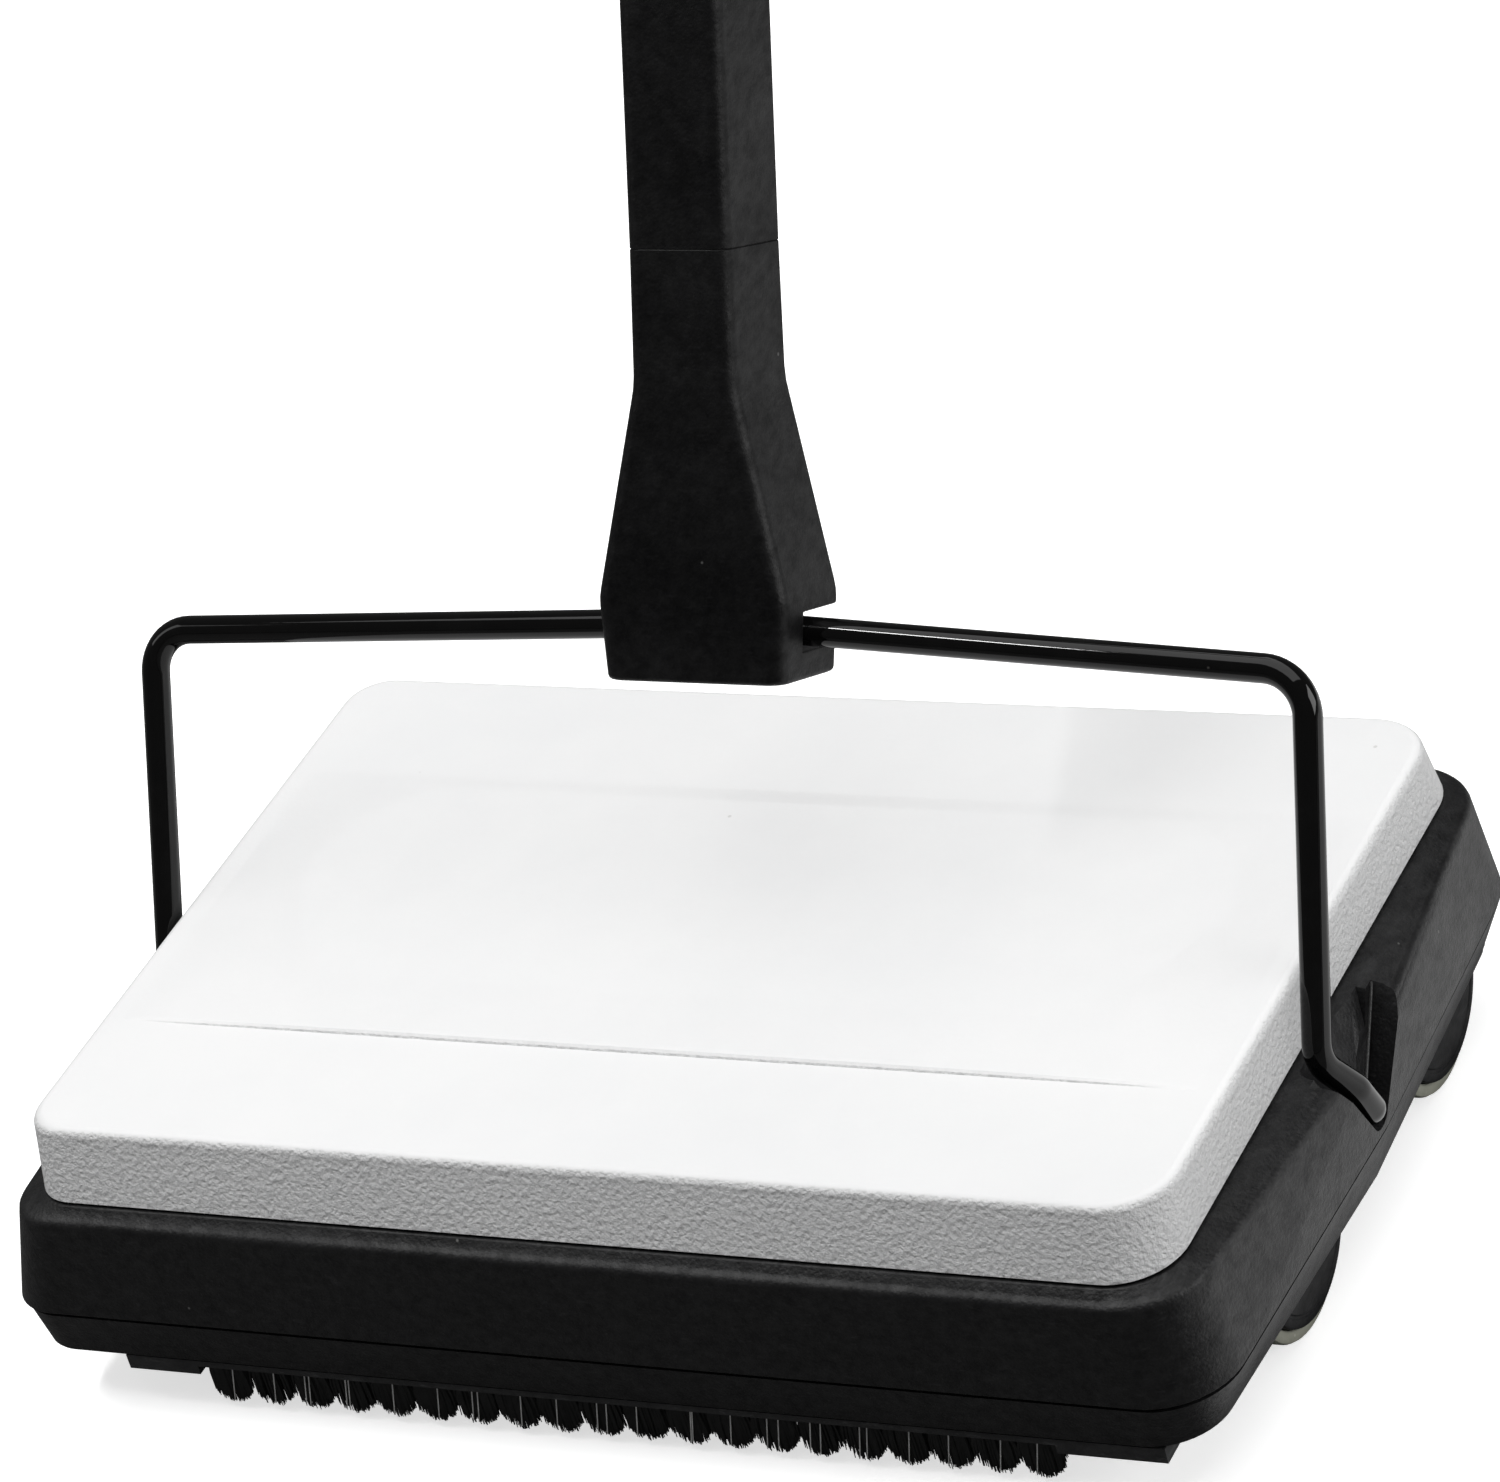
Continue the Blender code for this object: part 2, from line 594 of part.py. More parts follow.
def pan_outline(front, inset):
    """Section of a pan: flat floor, raised lip beside the brush, tall wall at the head's edge."""
    brush_side = BRUSH_Y - BRUSH_R - 2.4 * MM if front else BRUSH_Y + BRUSH_R + 2.4 * MM
    edge = -(CHAMBER_Y - 1.2 * MM) if front else CHAMBER_Y - 1.2 * MM
    inward = 1 if front else -1
    floor_end = brush_side - inward * 8 * MM
    return [(edge + inward * inset, PAN_BACK + (20 * MM if inset else 0)),
            (edge + inward * inset, PAN_FLOOR + 4 * MM + inset),
            (edge + inward * (inset + 4 * MM), PAN_FLOOR + inset),
            (floor_end - inward * inset * 0.4, PAN_FLOOR + inset),
            (brush_side - inward * inset, PAN_LIP - 4 * MM),
            (brush_side - inward * inset, PAN_LIP + (31 * MM if inset else 0))]


def dust_pan(front, root):
    name = "front" if front else "rear"
    sign = -1 if front else 1
    pin = (0, sign * pan_pin_y(), PAN_PIN_Z)
    axis = empty(f"{name}_pan_axis", pin, parent=root)
    back = Matrix.Translation(-Vector(pin))
    pan = prism(f"{name}_dust_pan", pan_outline(front, 0.0), -PAN_HALF, PAN_HALF,
                BLACK_PLASTIC, axis, PARTS)
    pan.data.transform(back)
    hollow = prism(f"{name}_pan_hollow", pan_outline(front, PAN_WALL), -PAN_HALF + PAN_WALL,
                   PAN_HALF - PAN_WALL, parent=axis)
    hollow.data.transform(back)
    boolean(pan, hollow)
    reach = PAN_HALF + 3 * MM
    boolean(pan, rod(f"{name}_pan_bore", PAN_PIN_R + GAP, (-reach, 0, 0), (reach, 0, 0), parent=axis))
    for hand, side in (("left", -1), ("right", 1)):
        start = (side * (PAN_HALF - PAN_WALL - 7 * MM), pin[1], pin[2])
        end = (side * (CHAMBER_X + BULKHEAD + 1.5 * MM), pin[1], pin[2])
        rod(f"{name}_pan_pin_{hand}", PAN_PIN_R, start, end, STEEL, root, PARTS, sides=14)
    pan_spring(name, sign, pin, root)


def pan_spring(name, sign, pin, root):
    """Torsion spring around the right pivot pin that holds the pan shut."""
    turns, per_turn, radius = 3, 8, 3.4 * MM
    start_x = PAN_HALF - PAN_WALL - 1.2 * MM
    wire_r = 0.5 * MM
    path = [(start_x, -sign * 15 * MM, -5.5 * MM)]
    for i in range(turns * per_turn + 1):
        a = -pi / 2 + i * 2 * pi / per_turn
        x = start_x - i * 1.25 * MM / per_turn
        path.append((x, sign * radius * cos(a), radius * sin(a)))
    del path[1]
    points = [Vector(p) + Vector(pin) for p in path]
    wire(f"{name}_pan_spring", points, wire_r, STEEL, root, sides=1)


# ---------------------------------------------------------------- edge bristles

def edge_bristles(name, sign, root):
    """Rail under the head's edge, thick at its ends, and the comb of tufts set along its middle."""
    y = sign * RAIL_Y
    half = 3.2 * MM
    middle = sign * TUFT_SHIFT
    reach = TUFTS * TUFT_PITCH / 2 + GAP
    rail = box(f"{name}_bristle_rail", (-RAIL_HALF, y - half, RAIL_FOOT),
               (RAIL_HALF, y + half, RAIL_TOP), GREY_PLASTIC, root, PARTS)
    boolean(rail, box(f"{name}_rail_recess", (middle - reach, y - 2 * half, 0),
                      (middle + reach, y + 2 * half, RAIL_MIDDLE), parent=root))
    top = RAIL_MIDDLE - GAP
    root_z = top - 1.0 * MM
    outline = [(middle - TUFTS * TUFT_PITCH / 2, top)]
    for i in range(TUFTS):
        centre = middle + (i - (TUFTS - 1) / 2) * TUFT_PITCH
        for dx, z in ((-0.34, root_z), (-0.42, TUFT_TIP), (0.42, TUFT_TIP), (0.34, root_z)):
            outline.append((centre + dx * TUFT_PITCH, z))
    outline.append((middle + TUFTS * TUFT_PITCH / 2, top))
    bm = bmesh.new()
    face = bm.faces.new([bm.verts.new((x, y - 2 * MM, z)) for x, z in outline])
    grown = bmesh.ops.extrude_face_region(bm, geom=[face])["geom"]
    moved = [v for v in grown if isinstance(v, bmesh.types.BMVert)]
    bmesh.ops.translate(bm, vec=(0, 4 * MM, 0), verts=moved)
    add_object(f"{name}_edge_bristles", mesh_from(bm, name), BRISTLE, root)


# ---------------------------------------------------------------- bail and handle

def bail_wire(axis):
    """One bent wire: turned-in pins, feet that rise to the knees, two legs, and a top bar."""
    forward, top = -HANDLE_FORWARD, HANDLE_RISE + BAIL_TOP
    half = [(PIN_END_X, 0, 0), (FOOT_X, 0, 0), (FOOT_X, 0.5 * forward, 0.5 * KNEE_HEIGHT),
            (LEG_X, forward, KNEE_HEIGHT), (LEG_X, forward, top)]
    route = [(-x, y, z) for x, y, z in half]
    route += [(0, forward, top + BAIL_RISE)]
    route += list(reversed(half))
    radii = [3.4 * MM, 8 * MM, 8 * MM, 10 * MM]
    wire("bail_wire", bend(route, radii + [120 * MM] + radii[::-1], 4), WIRE_R, PAINTED_WIRE, axis)


def handle_yoke(axis):
    """Flared lower moulding that grips the bar, slotted from behind."""
    corner = TUBE_CORNER
    stations = [(YOKE_FOOT, YOKE_HALF - 2.6 * MM, TUBE_HALF_Y - 1.2 * MM),
                (YOKE_FOOT + 2.0 * MM, YOKE_HALF - 1.3 * MM, TUBE_HALF_Y),
                (YOKE_WIDE, YOKE_HALF, TUBE_HALF_Y + 0.4 * MM),
                (YOKE_NECK, TUBE_HALF_X + 0.4 * MM, TUBE_HALF_Y + 0.2 * MM),
                (YOKE_NECK + 4 * MM, TUBE_HALF_X + 0.2 * MM, TUBE_HALF_Y + 0.1 * MM),
                (YOKE_END, TUBE_HALF_X, TUBE_HALF_Y)]
    rings = [(box_outline(hx, hy, corner, 4), height) for height, hx, hy in stations]
    yoke = loft("handle_yoke", rings, BLACK_PLASTIC, axis)
    slot_back = TUBE_HALF_Y + 5 * MM
    boolean(yoke, box("bar_slot", (-30 * MM, -WIRE_R - 0.6 * MM, SLOT_LOW), (30 * MM, slot_back, SLOT_HIGH),
                      parent=axis))
    plate_half = 13 * MM + GAP
    boolean(yoke, box("plate_seat", (-plate_half, TUBE_HALF_Y - 3 * MM, YOKE_FOOT + 2 * MM),
                      (plate_half, slot_back, 122 * MM + GAP), parent=axis))
    socket = box_outline(TUBE_HALF_X - TUBE_WALL - GAP, TUBE_HALF_Y - TUBE_WALL - GAP, 2 * MM, 4)
    boolean(yoke, loft("yoke_socket", [(socket, 152 * MM), (socket, YOKE_END + 5 * MM)],
                       None, axis, CUTTERS, smooth=False))
    for i, height in enumerate(plate_screw_heights()):
        boolean(yoke, rod(f"yoke_pilot_{i}", 1.6 * MM, (0, -2 * MM, height), (0, 20 * MM, height),
                          parent=axis))
    return yoke


def plate_screw_heights():
    return (108 * MM, 117 * MM)


def yoke_plate(axis):
    """Plate screwed over the slot, with a pad that presses on the bar."""
    face = TUBE_HALF_Y + 0.2 * MM
    seat = TUBE_HALF_Y - 3 * MM + GAP
    outline = box_outline(13 * MM, 16.6 * MM, 2 * MM, 3)
    low = YOKE_FOOT + 2 * MM + GAP
    plate = loft("yoke_back_plate", [(outline, seat), (outline, face - 0.5 * MM),
                                     (box_outline(12.5 * MM, 16.1 * MM, 1.6 * MM, 3), face)],
                 BLACK_PLASTIC, axis)
    plate.location = (0, 0, low + 16.6 * MM)
    plate.rotation_euler = (-pi / 2, 0, 0)
    middle = low + 16.6 * MM
    pad_centre = middle - (SLOT_LOW + SLOT_HIGH) / 2
    pad = box("plate_pad", (-9 * MM, pad_centre - 3.6 * MM, WIRE_R + 0.5 * MM),
              (9 * MM, pad_centre + 3.6 * MM, seat + MM), parent=plate)
    boolean(plate, pad, "UNION")
    for i, height in enumerate(plate_screw_heights()):
        spot = middle - height
        boolean(plate, rod(f"plate_hole_{i}", 1.8 * MM, (0, spot, 5 * MM), (0, spot, 20 * MM), parent=plate))
    profile = [(0, face + 1.6 * MM), (2.2 * MM, face + 1.3 * MM), (3.2 * MM, face + GAP),
               (1.3 * MM, face + GAP), (1.3 * MM, 0.6 * MM), (0, -0.4 * MM)]
    for name, height in zip(("lower", "upper"), plate_screw_heights()):
        screw = turned(f"yoke_screw_{name}", profile, STEEL, axis, steps=12)
        screw.location = (0, 0, height)
        screw.rotation_euler = (-pi / 2, 0, 0)


def handle_tubes(axis):
    names = ("lower", "middle", "upper")
    for name, start, end in zip(names, SECTION_ENDS, SECTION_ENDS[1:]):
        outline = box_outline(TUBE_HALF_X, TUBE_HALF_Y, TUBE_CORNER, 4)
        tube = loft(f"handle_tube_{name}", [(outline, start + GAP), (outline, end)], BLACK_PLASTIC, axis)
        bore = box_outline(TUBE_HALF_X - TUBE_WALL, TUBE_HALF_Y - TUBE_WALL, 2 * MM, 4)
        boolean(tube, loft(f"tube_bore_{name}", [(bore, start - 5 * MM), (bore, end + 5 * MM)],
                           None, axis, CUTTERS, smooth=False))
    plug_x, plug_y = TUBE_HALF_X - TUBE_WALL - 2 * GAP, TUBE_HALF_Y - TUBE_WALL - 2 * GAP
    plug = box_outline(plug_x, plug_y, 2 * MM, 3)
    bore = box_outline(plug_x - 1.8 * MM, plug_y - 1.8 * MM, 1.2 * MM, 3)
    for name, seam in zip(("lower", "middle", "upper"), SECTION_ENDS):
        coupling = loft(f"handle_coupling_{name}", [(plug, seam - 24 * MM), (plug, seam + 24 * MM)],
                        GREY_PLASTIC, axis)
        boolean(coupling, loft(f"coupling_bore_{name}", [(bore, seam - 30 * MM), (bore, seam + 30 * MM)],
                               None, axis, CUTTERS, smooth=False))


def handle_grip(axis):
    """Ribbed sleeve over the top of the handle and the end cap with its hanging hole."""
    def ring(grow, height):
        return box_outline(TUBE_HALF_X + grow, TUBE_HALF_Y + grow, TUBE_CORNER + grow, 3), height

    rings = [ring(1.6 * MM, GRIP_START), ring(2.6 * MM, GRIP_START + 3 * MM)]
    ribs = 5
    pitch = (GRIP_END - GRIP_START - 16 * MM) / ribs
    for i in range(ribs):
        z = GRIP_START + 8 * MM + i * pitch
        rings += [ring(2.6 * MM, z), ring(1.9 * MM, z + 1.2 * MM),
                  ring(1.9 * MM, z + 4 * MM), ring(2.6 * MM, z + 5.2 * MM)]
    rings += [ring(2.6 * MM, GRIP_END - 3 * MM), ring(1.6 * MM, GRIP_END)]
    grip = loft("handle_grip", rings, GRIP_RUBBER, axis)
    bore = box_outline(TUBE_HALF_X + GAP, TUBE_HALF_Y + GAP, TUBE_CORNER + GAP, 3)
    boolean(grip, loft("grip_bore", [(bore, GRIP_START - 5 * MM), (bore, GRIP_END + 5 * MM)],
                       None, axis, CUTTERS, smooth=False))
    end = SECTION_ENDS[-1]
    inner = TUBE_WALL + 2 * GAP
    stations = [(end - 22 * MM, -inner), (end + GAP, -inner), (end + GAP, 0.6 * MM),
                (end + 14 * MM, 0.6 * MM), (end + 22 * MM, -1.5 * MM), (end + 26 * MM, -4.5 * MM)]
    cap_rings = [(box_outline(TUBE_HALF_X + grow, TUBE_HALF_Y + grow, max(TUBE_CORNER + grow, 1.5 * MM), 4),
                  height) for height, grow in stations]
    cap = loft("handle_end_cap", cap_rings, BLACK_PLASTIC, axis)
    boolean(cap, rod("hanging_hole", 4.5 * MM, (-30 * MM, 0, end + 12 * MM), (30 * MM, 0, end + 12 * MM),
                     parent=axis))


# ---------------------------------------------------------------- assembly

def centre_on_origin(root):
    """Move the whole sweeper in Y so that the middle of its bounding box is over the origin."""
    bpy.context.view_layer.update()
    graph = bpy.context.evaluated_depsgraph_get()
    ys = []
    for thing in PARTS.objects:
        if thing.type != "EMPTY":
            solid = thing.evaluated_get(graph)
            mesh = solid.to_mesh()
            ys += [(solid.matrix_world @ v.co).y for v in mesh.vertices]
            solid.to_mesh_clear()
    root.location.y = -(min(ys) + max(ys)) / 2
    bpy.context.view_layer.update()


def build():
    root = empty("sweeper")
    base_housing(root)
    lid_cover(root)
    lid_screws(root)
    wheel_sets(root)
    brush_roll(root)
    dust_pan(True, root)
    dust_pan(False, root)
    edge_bristles("front", -1, root)
    edge_bristles("rear", 1, root)
    bail_axis = empty("bail_axis", (0, PIVOT_Y, PIVOT_Z), (-LEAN, 0, 0), root)
    bail_wire(bail_axis)
    handle_datum = empty("handle_datum", (HANDLE_X, -HANDLE_FORWARD, HANDLE_RISE), parent=bail_axis)
    handle_yoke(handle_datum)
    yoke_plate(handle_datum)
    handle_tubes(handle_datum)
    handle_grip(handle_datum)
    centre_on_origin(root)


build()
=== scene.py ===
import random
from math import cos, hypot, pi, radians, sin, tan

import bmesh
import bpy
from mathutils import Euler, Matrix, Vector


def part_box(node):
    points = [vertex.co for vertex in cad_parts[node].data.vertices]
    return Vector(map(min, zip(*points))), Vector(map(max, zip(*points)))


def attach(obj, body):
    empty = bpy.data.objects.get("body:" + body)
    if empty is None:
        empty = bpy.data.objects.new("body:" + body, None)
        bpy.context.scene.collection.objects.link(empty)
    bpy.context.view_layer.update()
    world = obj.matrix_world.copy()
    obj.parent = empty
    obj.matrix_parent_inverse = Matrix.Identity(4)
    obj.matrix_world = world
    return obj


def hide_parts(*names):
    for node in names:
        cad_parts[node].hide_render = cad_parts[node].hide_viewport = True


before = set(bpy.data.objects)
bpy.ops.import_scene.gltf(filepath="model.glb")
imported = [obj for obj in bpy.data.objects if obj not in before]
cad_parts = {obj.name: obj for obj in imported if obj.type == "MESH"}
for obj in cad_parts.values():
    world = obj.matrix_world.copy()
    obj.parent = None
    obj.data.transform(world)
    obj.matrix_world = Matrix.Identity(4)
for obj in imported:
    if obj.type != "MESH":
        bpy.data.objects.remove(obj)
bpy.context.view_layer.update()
MM = 0.001
GAP = 0.3 * MM

# Where the head and the bail's pivot stand in the frame.
HEAD_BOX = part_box("base_housing")
HEAD_Y = (HEAD_BOX[0].y + HEAD_BOX[1].y) / 2
PIVOT_Y = -3.0 * MM
PIVOT_Z = 35.5 * MM
HEAD = Matrix.Translation((0, HEAD_Y, 0))

# Head: half width at the corners, half width at mid side, half depth, corner radius, height,
# and how far out the left end's corners stand.
BOTTOM = (136.2 * MM, 140.6 * MM, 91.5 * MM, 15 * MM, 15.5 * MM, 149.6 * MM)
STRIP = (141.8 * MM, 145.0 * MM, 94.7 * MM, 17 * MM, 29.0 * MM, 150.1 * MM)
WALL = (142.6 * MM, 145.9 * MM, 95.6 * MM, 18 * MM, 29.6 * MM, 150.9 * MM)
CREST = (139.6 * MM, 149.2 * MM, 94.4 * MM, 18 * MM, 55.0 * MM, 143.4 * MM)
LEFT_TIGHT = 0.67
LID_LEFT = 1.0 * MM
SHELL = 2.4 * MM
DECK_TOP = 57.2 * MM
DECK_UNDER = 54.4 * MM
FLANGE_TOP = 18.0 * MM
CHAMBER_X = 119.0 * MM
CHAMBER_Y = 84.0 * MM
BULKHEAD = 2.5 * MM
BOSS_X = 136.4 * MM
PAST_SIDE = 165 * MM
PAST_EDGE = 97 * MM

# Lid: half width, half depth and corner radius at its foot and at its top, and the raised panel.
LID_FOOT = (136.2 * MM, 90.2 * MM, 15 * MM)
LID_TOP = (136.4 * MM, 85.9 * MM, 15 * MM)
LID_FOOT_Z = 57.5 * MM
LID_TOP_Z = 74.2 * MM
LID_EDGE = 2.4 * MM
PANEL_RISE = 1.1 * MM
PANEL_FRONT = -46.0 * MM
PANEL_BACK = 46.0 * MM

# Running gear and brush roll.
WHEEL_R = 24.5 * MM
TYRE_WALL = 3.3 * MM
TYRE_WIDTH = 8.0 * MM
TYRE_FACE = 134.4 * MM
HUB_PROUD = 1.7 * MM
WHEEL_SPREAD = 42.0 * MM
BRUSH_Y = 12.5 * MM
BRUSH_Z = 25.5 * MM
BRUSH_R = 25.0 * MM
BRUSH_HALF = 116.0 * MM
CORE_R = 9.0 * MM
SHAFT_R = 3.0 * MM
DRIVE_R = hypot(WHEEL_SPREAD, BRUSH_Z - WHEEL_R) - WHEEL_R - GAP
PAN_PIN = (76.5 * MM, 22.0 * MM)
PAN_SPRING_X = 114.5 * MM

# Edge bristles.
RAIL_Y = 87.6 * MM
RAIL_MIDDLE = 13.6 * MM
TUFTS = 20
TUFT_PITCH = 10.44 * MM
TUFT_TIP = 2.3 * MM
TUFT_SHIFT = 3.5 * MM

# Bail and handle.
LEAN = radians(27.0)
KNEE_LEAN = radians(24.5)
BACK_LEAN = radians(67.0)
WIRE_R = 3.2 * MM
LEG_X = 141.2 * MM
FOOT_X = 145.3 * MM
PIN_END_X = 138.8 * MM
KNEE_HEIGHT = 14.6 * MM
HANDLE_FORWARD = 20.3 * MM
HANDLE_RISE = 5.35 * MM
HANDLE_X = 3.5 * MM
BAIL_TOP = 91.3 * MM
BAIL_RISE = 6.0 * MM
YOKE_FOOT = 86.0 * MM
YOKE_WIDE = 104.0 * MM
YOKE_NECK = 149.0 * MM
YOKE_HALF = 23.0 * MM
TUBE_HALF_X = 12.3 * MM
TUBE_HALF_Y = 13.4 * MM
TUBE_CORNER = 3.6 * MM
TUBE_WALL = 1.2 * MM
SECTION_ENDS = (179 * MM, 470 * MM, 760 * MM, 1040 * MM)
GRIP_START = 905 * MM
GRIP_END = 1032 * MM
SLOT_LOW = BAIL_TOP + 0.9 * MM
SLOT_HIGH = BAIL_TOP + 9.5 * MM
YOKE_SCREWS = (108 * MM, 117 * MM)

# Camera: focal length in mm, place from the middle of the head, and turns about x, y and z.
CAMERA_LENS = 176.159
CAMERA_PLACE = (0.754184, -1.102734, 0.949344)
CAMERA_TURN = (56.928, 14.341, 24.520)

# Pockets of the bail.
POCKET_X = 141.7 * MM
POCKET_FOOT_Z = 30.3 * MM
POCKET_FRONT = radians(-40.0)
POCKET_BACK = radians(41.0)

BAIL = HEAD @ Matrix.Translation((0, PIVOT_Y, PIVOT_Z)) @ Matrix.Rotation(-LEAN, 4, "X")
HANDLE = BAIL @ Matrix.Translation((HANDLE_X, -HANDLE_FORWARD, HANDLE_RISE))


# ---------------------------------------------------------------- materials

def add(tree, kind, inputs=None, **settings):
    """New node with its settings, its input values and the links into it."""
    made = tree.nodes.new(kind)
    for key, value in settings.items():
        setattr(made, key, value)
    for key, value in (inputs or {}).items():
        if isinstance(value, bpy.types.NodeSocket):
            tree.links.new(value, made.inputs[key])
        else:
            made.inputs[key].default_value = value
    return made


def new_material(name):
    made = bpy.data.materials.new(name)
    made.use_nodes = True
    tree = made.node_tree
    return made, tree, tree.nodes["Principled BSDF"]


def object_point(tree, stretch=(1, 1, 1)):
    coords = add(tree, "ShaderNodeTexCoord")
    return add(tree, "ShaderNodeMapping", {0: coords.outputs["Object"], 3: stretch}).outputs[0]


def fractal(tree, point, scale, detail=3.0, rough=0.5):
    sockets = {"Vector": point, "Scale": scale, "Detail": detail, "Roughness": rough}
    return add(tree, "ShaderNodeTexNoise", sockets).outputs[0]


def remap(tree, value, low, high, to_low, to_high):
    sockets = {0: value, 1: low, 2: high, 3: to_low, 4: to_high}
    return add(tree, "ShaderNodeMapRange", sockets).outputs[0]


def blend_colour(tree, share, first, second):
    mix = add(tree, "ShaderNodeMix", {0: share}, data_type="RGBA")
    for socket, value in ((6, first), (7, second)):
        if isinstance(value, bpy.types.NodeSocket):
            tree.links.new(value, mix.inputs[socket])
        else:
            mix.inputs[socket].default_value = (*value, 1.0)
    return mix.outputs[2]


def product(tree, first, second, operation="MULTIPLY"):
    return add(tree, "ShaderNodeMath", {0: first, 1: second}, operation=operation).outputs[0]


def bump(tree, height, distance, strength=1.0):
    sockets = {"Height": height, "Distance": distance, "Strength": strength}
    return add(tree, "ShaderNodeBump", sockets).outputs[0]


def pebbles(tree, point, size):
    """Height of a moulded leather-like grain whose cells are about that size."""
    cells = add(tree, "ShaderNodeTexVoronoi", {"Vector": point, "Scale": 1 / size}, feature="SMOOTH_F1")
    fine = fractal(tree, point, 2.2 / size, 4.0, 0.6)
    return product(tree, cells.outputs[0], product(tree, fine, 0.9), "SUBTRACT")


def speckle(tree, point, per_metre, share):
    """Small round specks, share from 0 to 1 of the cells' width."""
    cells = add(tree, "ShaderNodeTexVoronoi", {"Vector": point, "Scale": per_metre, "Randomness": 1.0})
    spot = remap(tree, cells.outputs[0], share * 0.6, share, 1.0, 0.0)
    kept = add(tree, "ShaderNodeSeparateColor", {0: cells.outputs[1]}).outputs[0]
    return product(tree, spot, remap(tree, kept, 0.72, 0.74, 0.0, 1.0))


def plastic(name, colour, worn, rough, grain, depth, specular=0.3, dust=0.35, tint=(0.35, 0.35, 0.34)):
    """Moulded plastic: pebble grain, flow marks, rubbed patches and a little dust."""
    made, tree, shader = new_material(name)
    point = object_point(tree)
    flow = fractal(tree, object_point(tree, (1, 1, 2.2)), 16, 3.0, 0.55)
    rubbed = remap(tree, fractal(tree, point, 95, 8.0, 0.72), 0.5, 0.72, 0.0, 0.5)
    base = blend_colour(tree, remap(tree, flow, 0.35, 0.65, 0.0, 1.0), colour, worn)
    base = blend_colour(tree, product(tree, rubbed, 0.8), base, [c * 2.6 for c in worn])
    scrape = fractal(tree, object_point(tree, (1, 0.35, 3.5)), 240, 3.0, 0.6)
    base = blend_colour(tree, remap(tree, scrape, 0.60, 0.70, 0.0, 0.5), base, [c * 3.0 for c in worn])
    specks = product(tree, speckle(tree, point, 110, 0.055), dust)
    base = blend_colour(tree, specks, base, tint)
    tree.links.new(base, shader.inputs["Base Color"])
    uneven = product(tree, remap(tree, flow, 0.3, 0.7, rough - 0.07, rough + 0.07),
                     product(tree, rubbed, 0.14), "ADD")
    tree.links.new(uneven, shader.inputs["Roughness"])
    tree.links.new(bump(tree, pebbles(tree, point, grain), depth), shader.inputs["Normal"])
    streaks = fractal(tree, object_point(tree, (1, 0.75, 1.2)), 300, 8.0, 0.72)
    sheen = remap(tree, streaks, 0.36, 0.64, specular * 0.66, specular * 1.36)
    tree.links.new(sheen, shader.inputs["Specular IOR Level"])
    return made


def lid_plastic():
    """White moulding, pebbled on its sides and smooth on its top, with painted shade in the hollows of the
    side grain.
    """
    made, tree, shader = new_material("lid_white_plastic")
    point = object_point(tree)
    coords = add(tree, "ShaderNodeTexCoord")
    up = add(tree, "ShaderNodeSeparateXYZ", {0: coords.outputs["Normal"]}).outputs[2]
    side = remap(tree, up, 0.62, 0.86, 1.0, 0.05)
    grain = product(tree, pebbles(tree, point, 1.15 * MM), side)
    tree.links.new(bump(tree, grain, 0.44 * MM), shader.inputs["Normal"])
    flow = fractal(tree, point, 14, 4.0, 0.6)
    base = blend_colour(tree, remap(tree, flow, 0.35, 0.7, 0.0, 1.0),
                        (0.80, 0.80, 0.80), (0.755, 0.757, 0.76))
    # Painted shade: the hollows of the side grain are darkened towards grey, as shade falls in them.
    grain_hollow_shade = remap(tree, pebbles(tree, point, 1.15 * MM), -0.3, 0.3, 0.0, 0.34)
    base = blend_colour(tree, product(tree, grain_hollow_shade, side), base, (0.55, 0.56, 0.57))
    specks = product(tree, speckle(tree, point, 70, 0.04), 0.4)
    base = blend_colour(tree, specks, base, (0.35, 0.34, 0.32))
    tree.links.new(base, shader.inputs["Base Color"])
    tree.links.new(remap(tree, flow, 0.3, 0.7, 0.42, 0.55), shader.inputs["Roughness"])
    shader.inputs["Specular IOR Level"].default_value = 0.35
    shader.inputs["Subsurface Weight"].default_value = 0.05
    shader.inputs["Subsurface Radius"].default_value = (1.0, 1.0, 1.0)
    shader.inputs["Subsurface Scale"].default_value = 1.2 * MM
    return made


def gloss_paint():
    """Black coating on wire, with a faint orange peel and rubbed spots."""
    made, tree, shader = new_material("gloss_black_coating")
    point = object_point(tree)
    peel = fractal(tree, point, 420, 2.0, 0.4)
    chips = speckle(tree, point, 140, 0.07)
    rub = remap(tree, fractal(tree, point, 60, 6.0, 0.7), 0.52, 0.72, 0.0, 0.6)
    base = blend_colour(tree, rub, (0.002, 0.002, 0.002), (0.005, 0.005, 0.005))
    base = blend_colour(tree, product(tree, chips, 0.25), base, (0.2, 0.19, 0.18))
    tree.links.new(base, shader.inputs["Base Color"])
    tree.links.new(remap(tree, rub, 0.0, 0.6, 0.03, 0.08), shader.inputs["Roughness"])
    tree.links.new(bump(tree, peel, 0.03 * MM, 0.35), shader.inputs["Normal"])
    shader.inputs["Specular IOR Level"].default_value = 0.22
    shader.inputs["Coat Weight"].default_value = 0.15
    shader.inputs["Coat Roughness"].default_value = 0.04
    return made


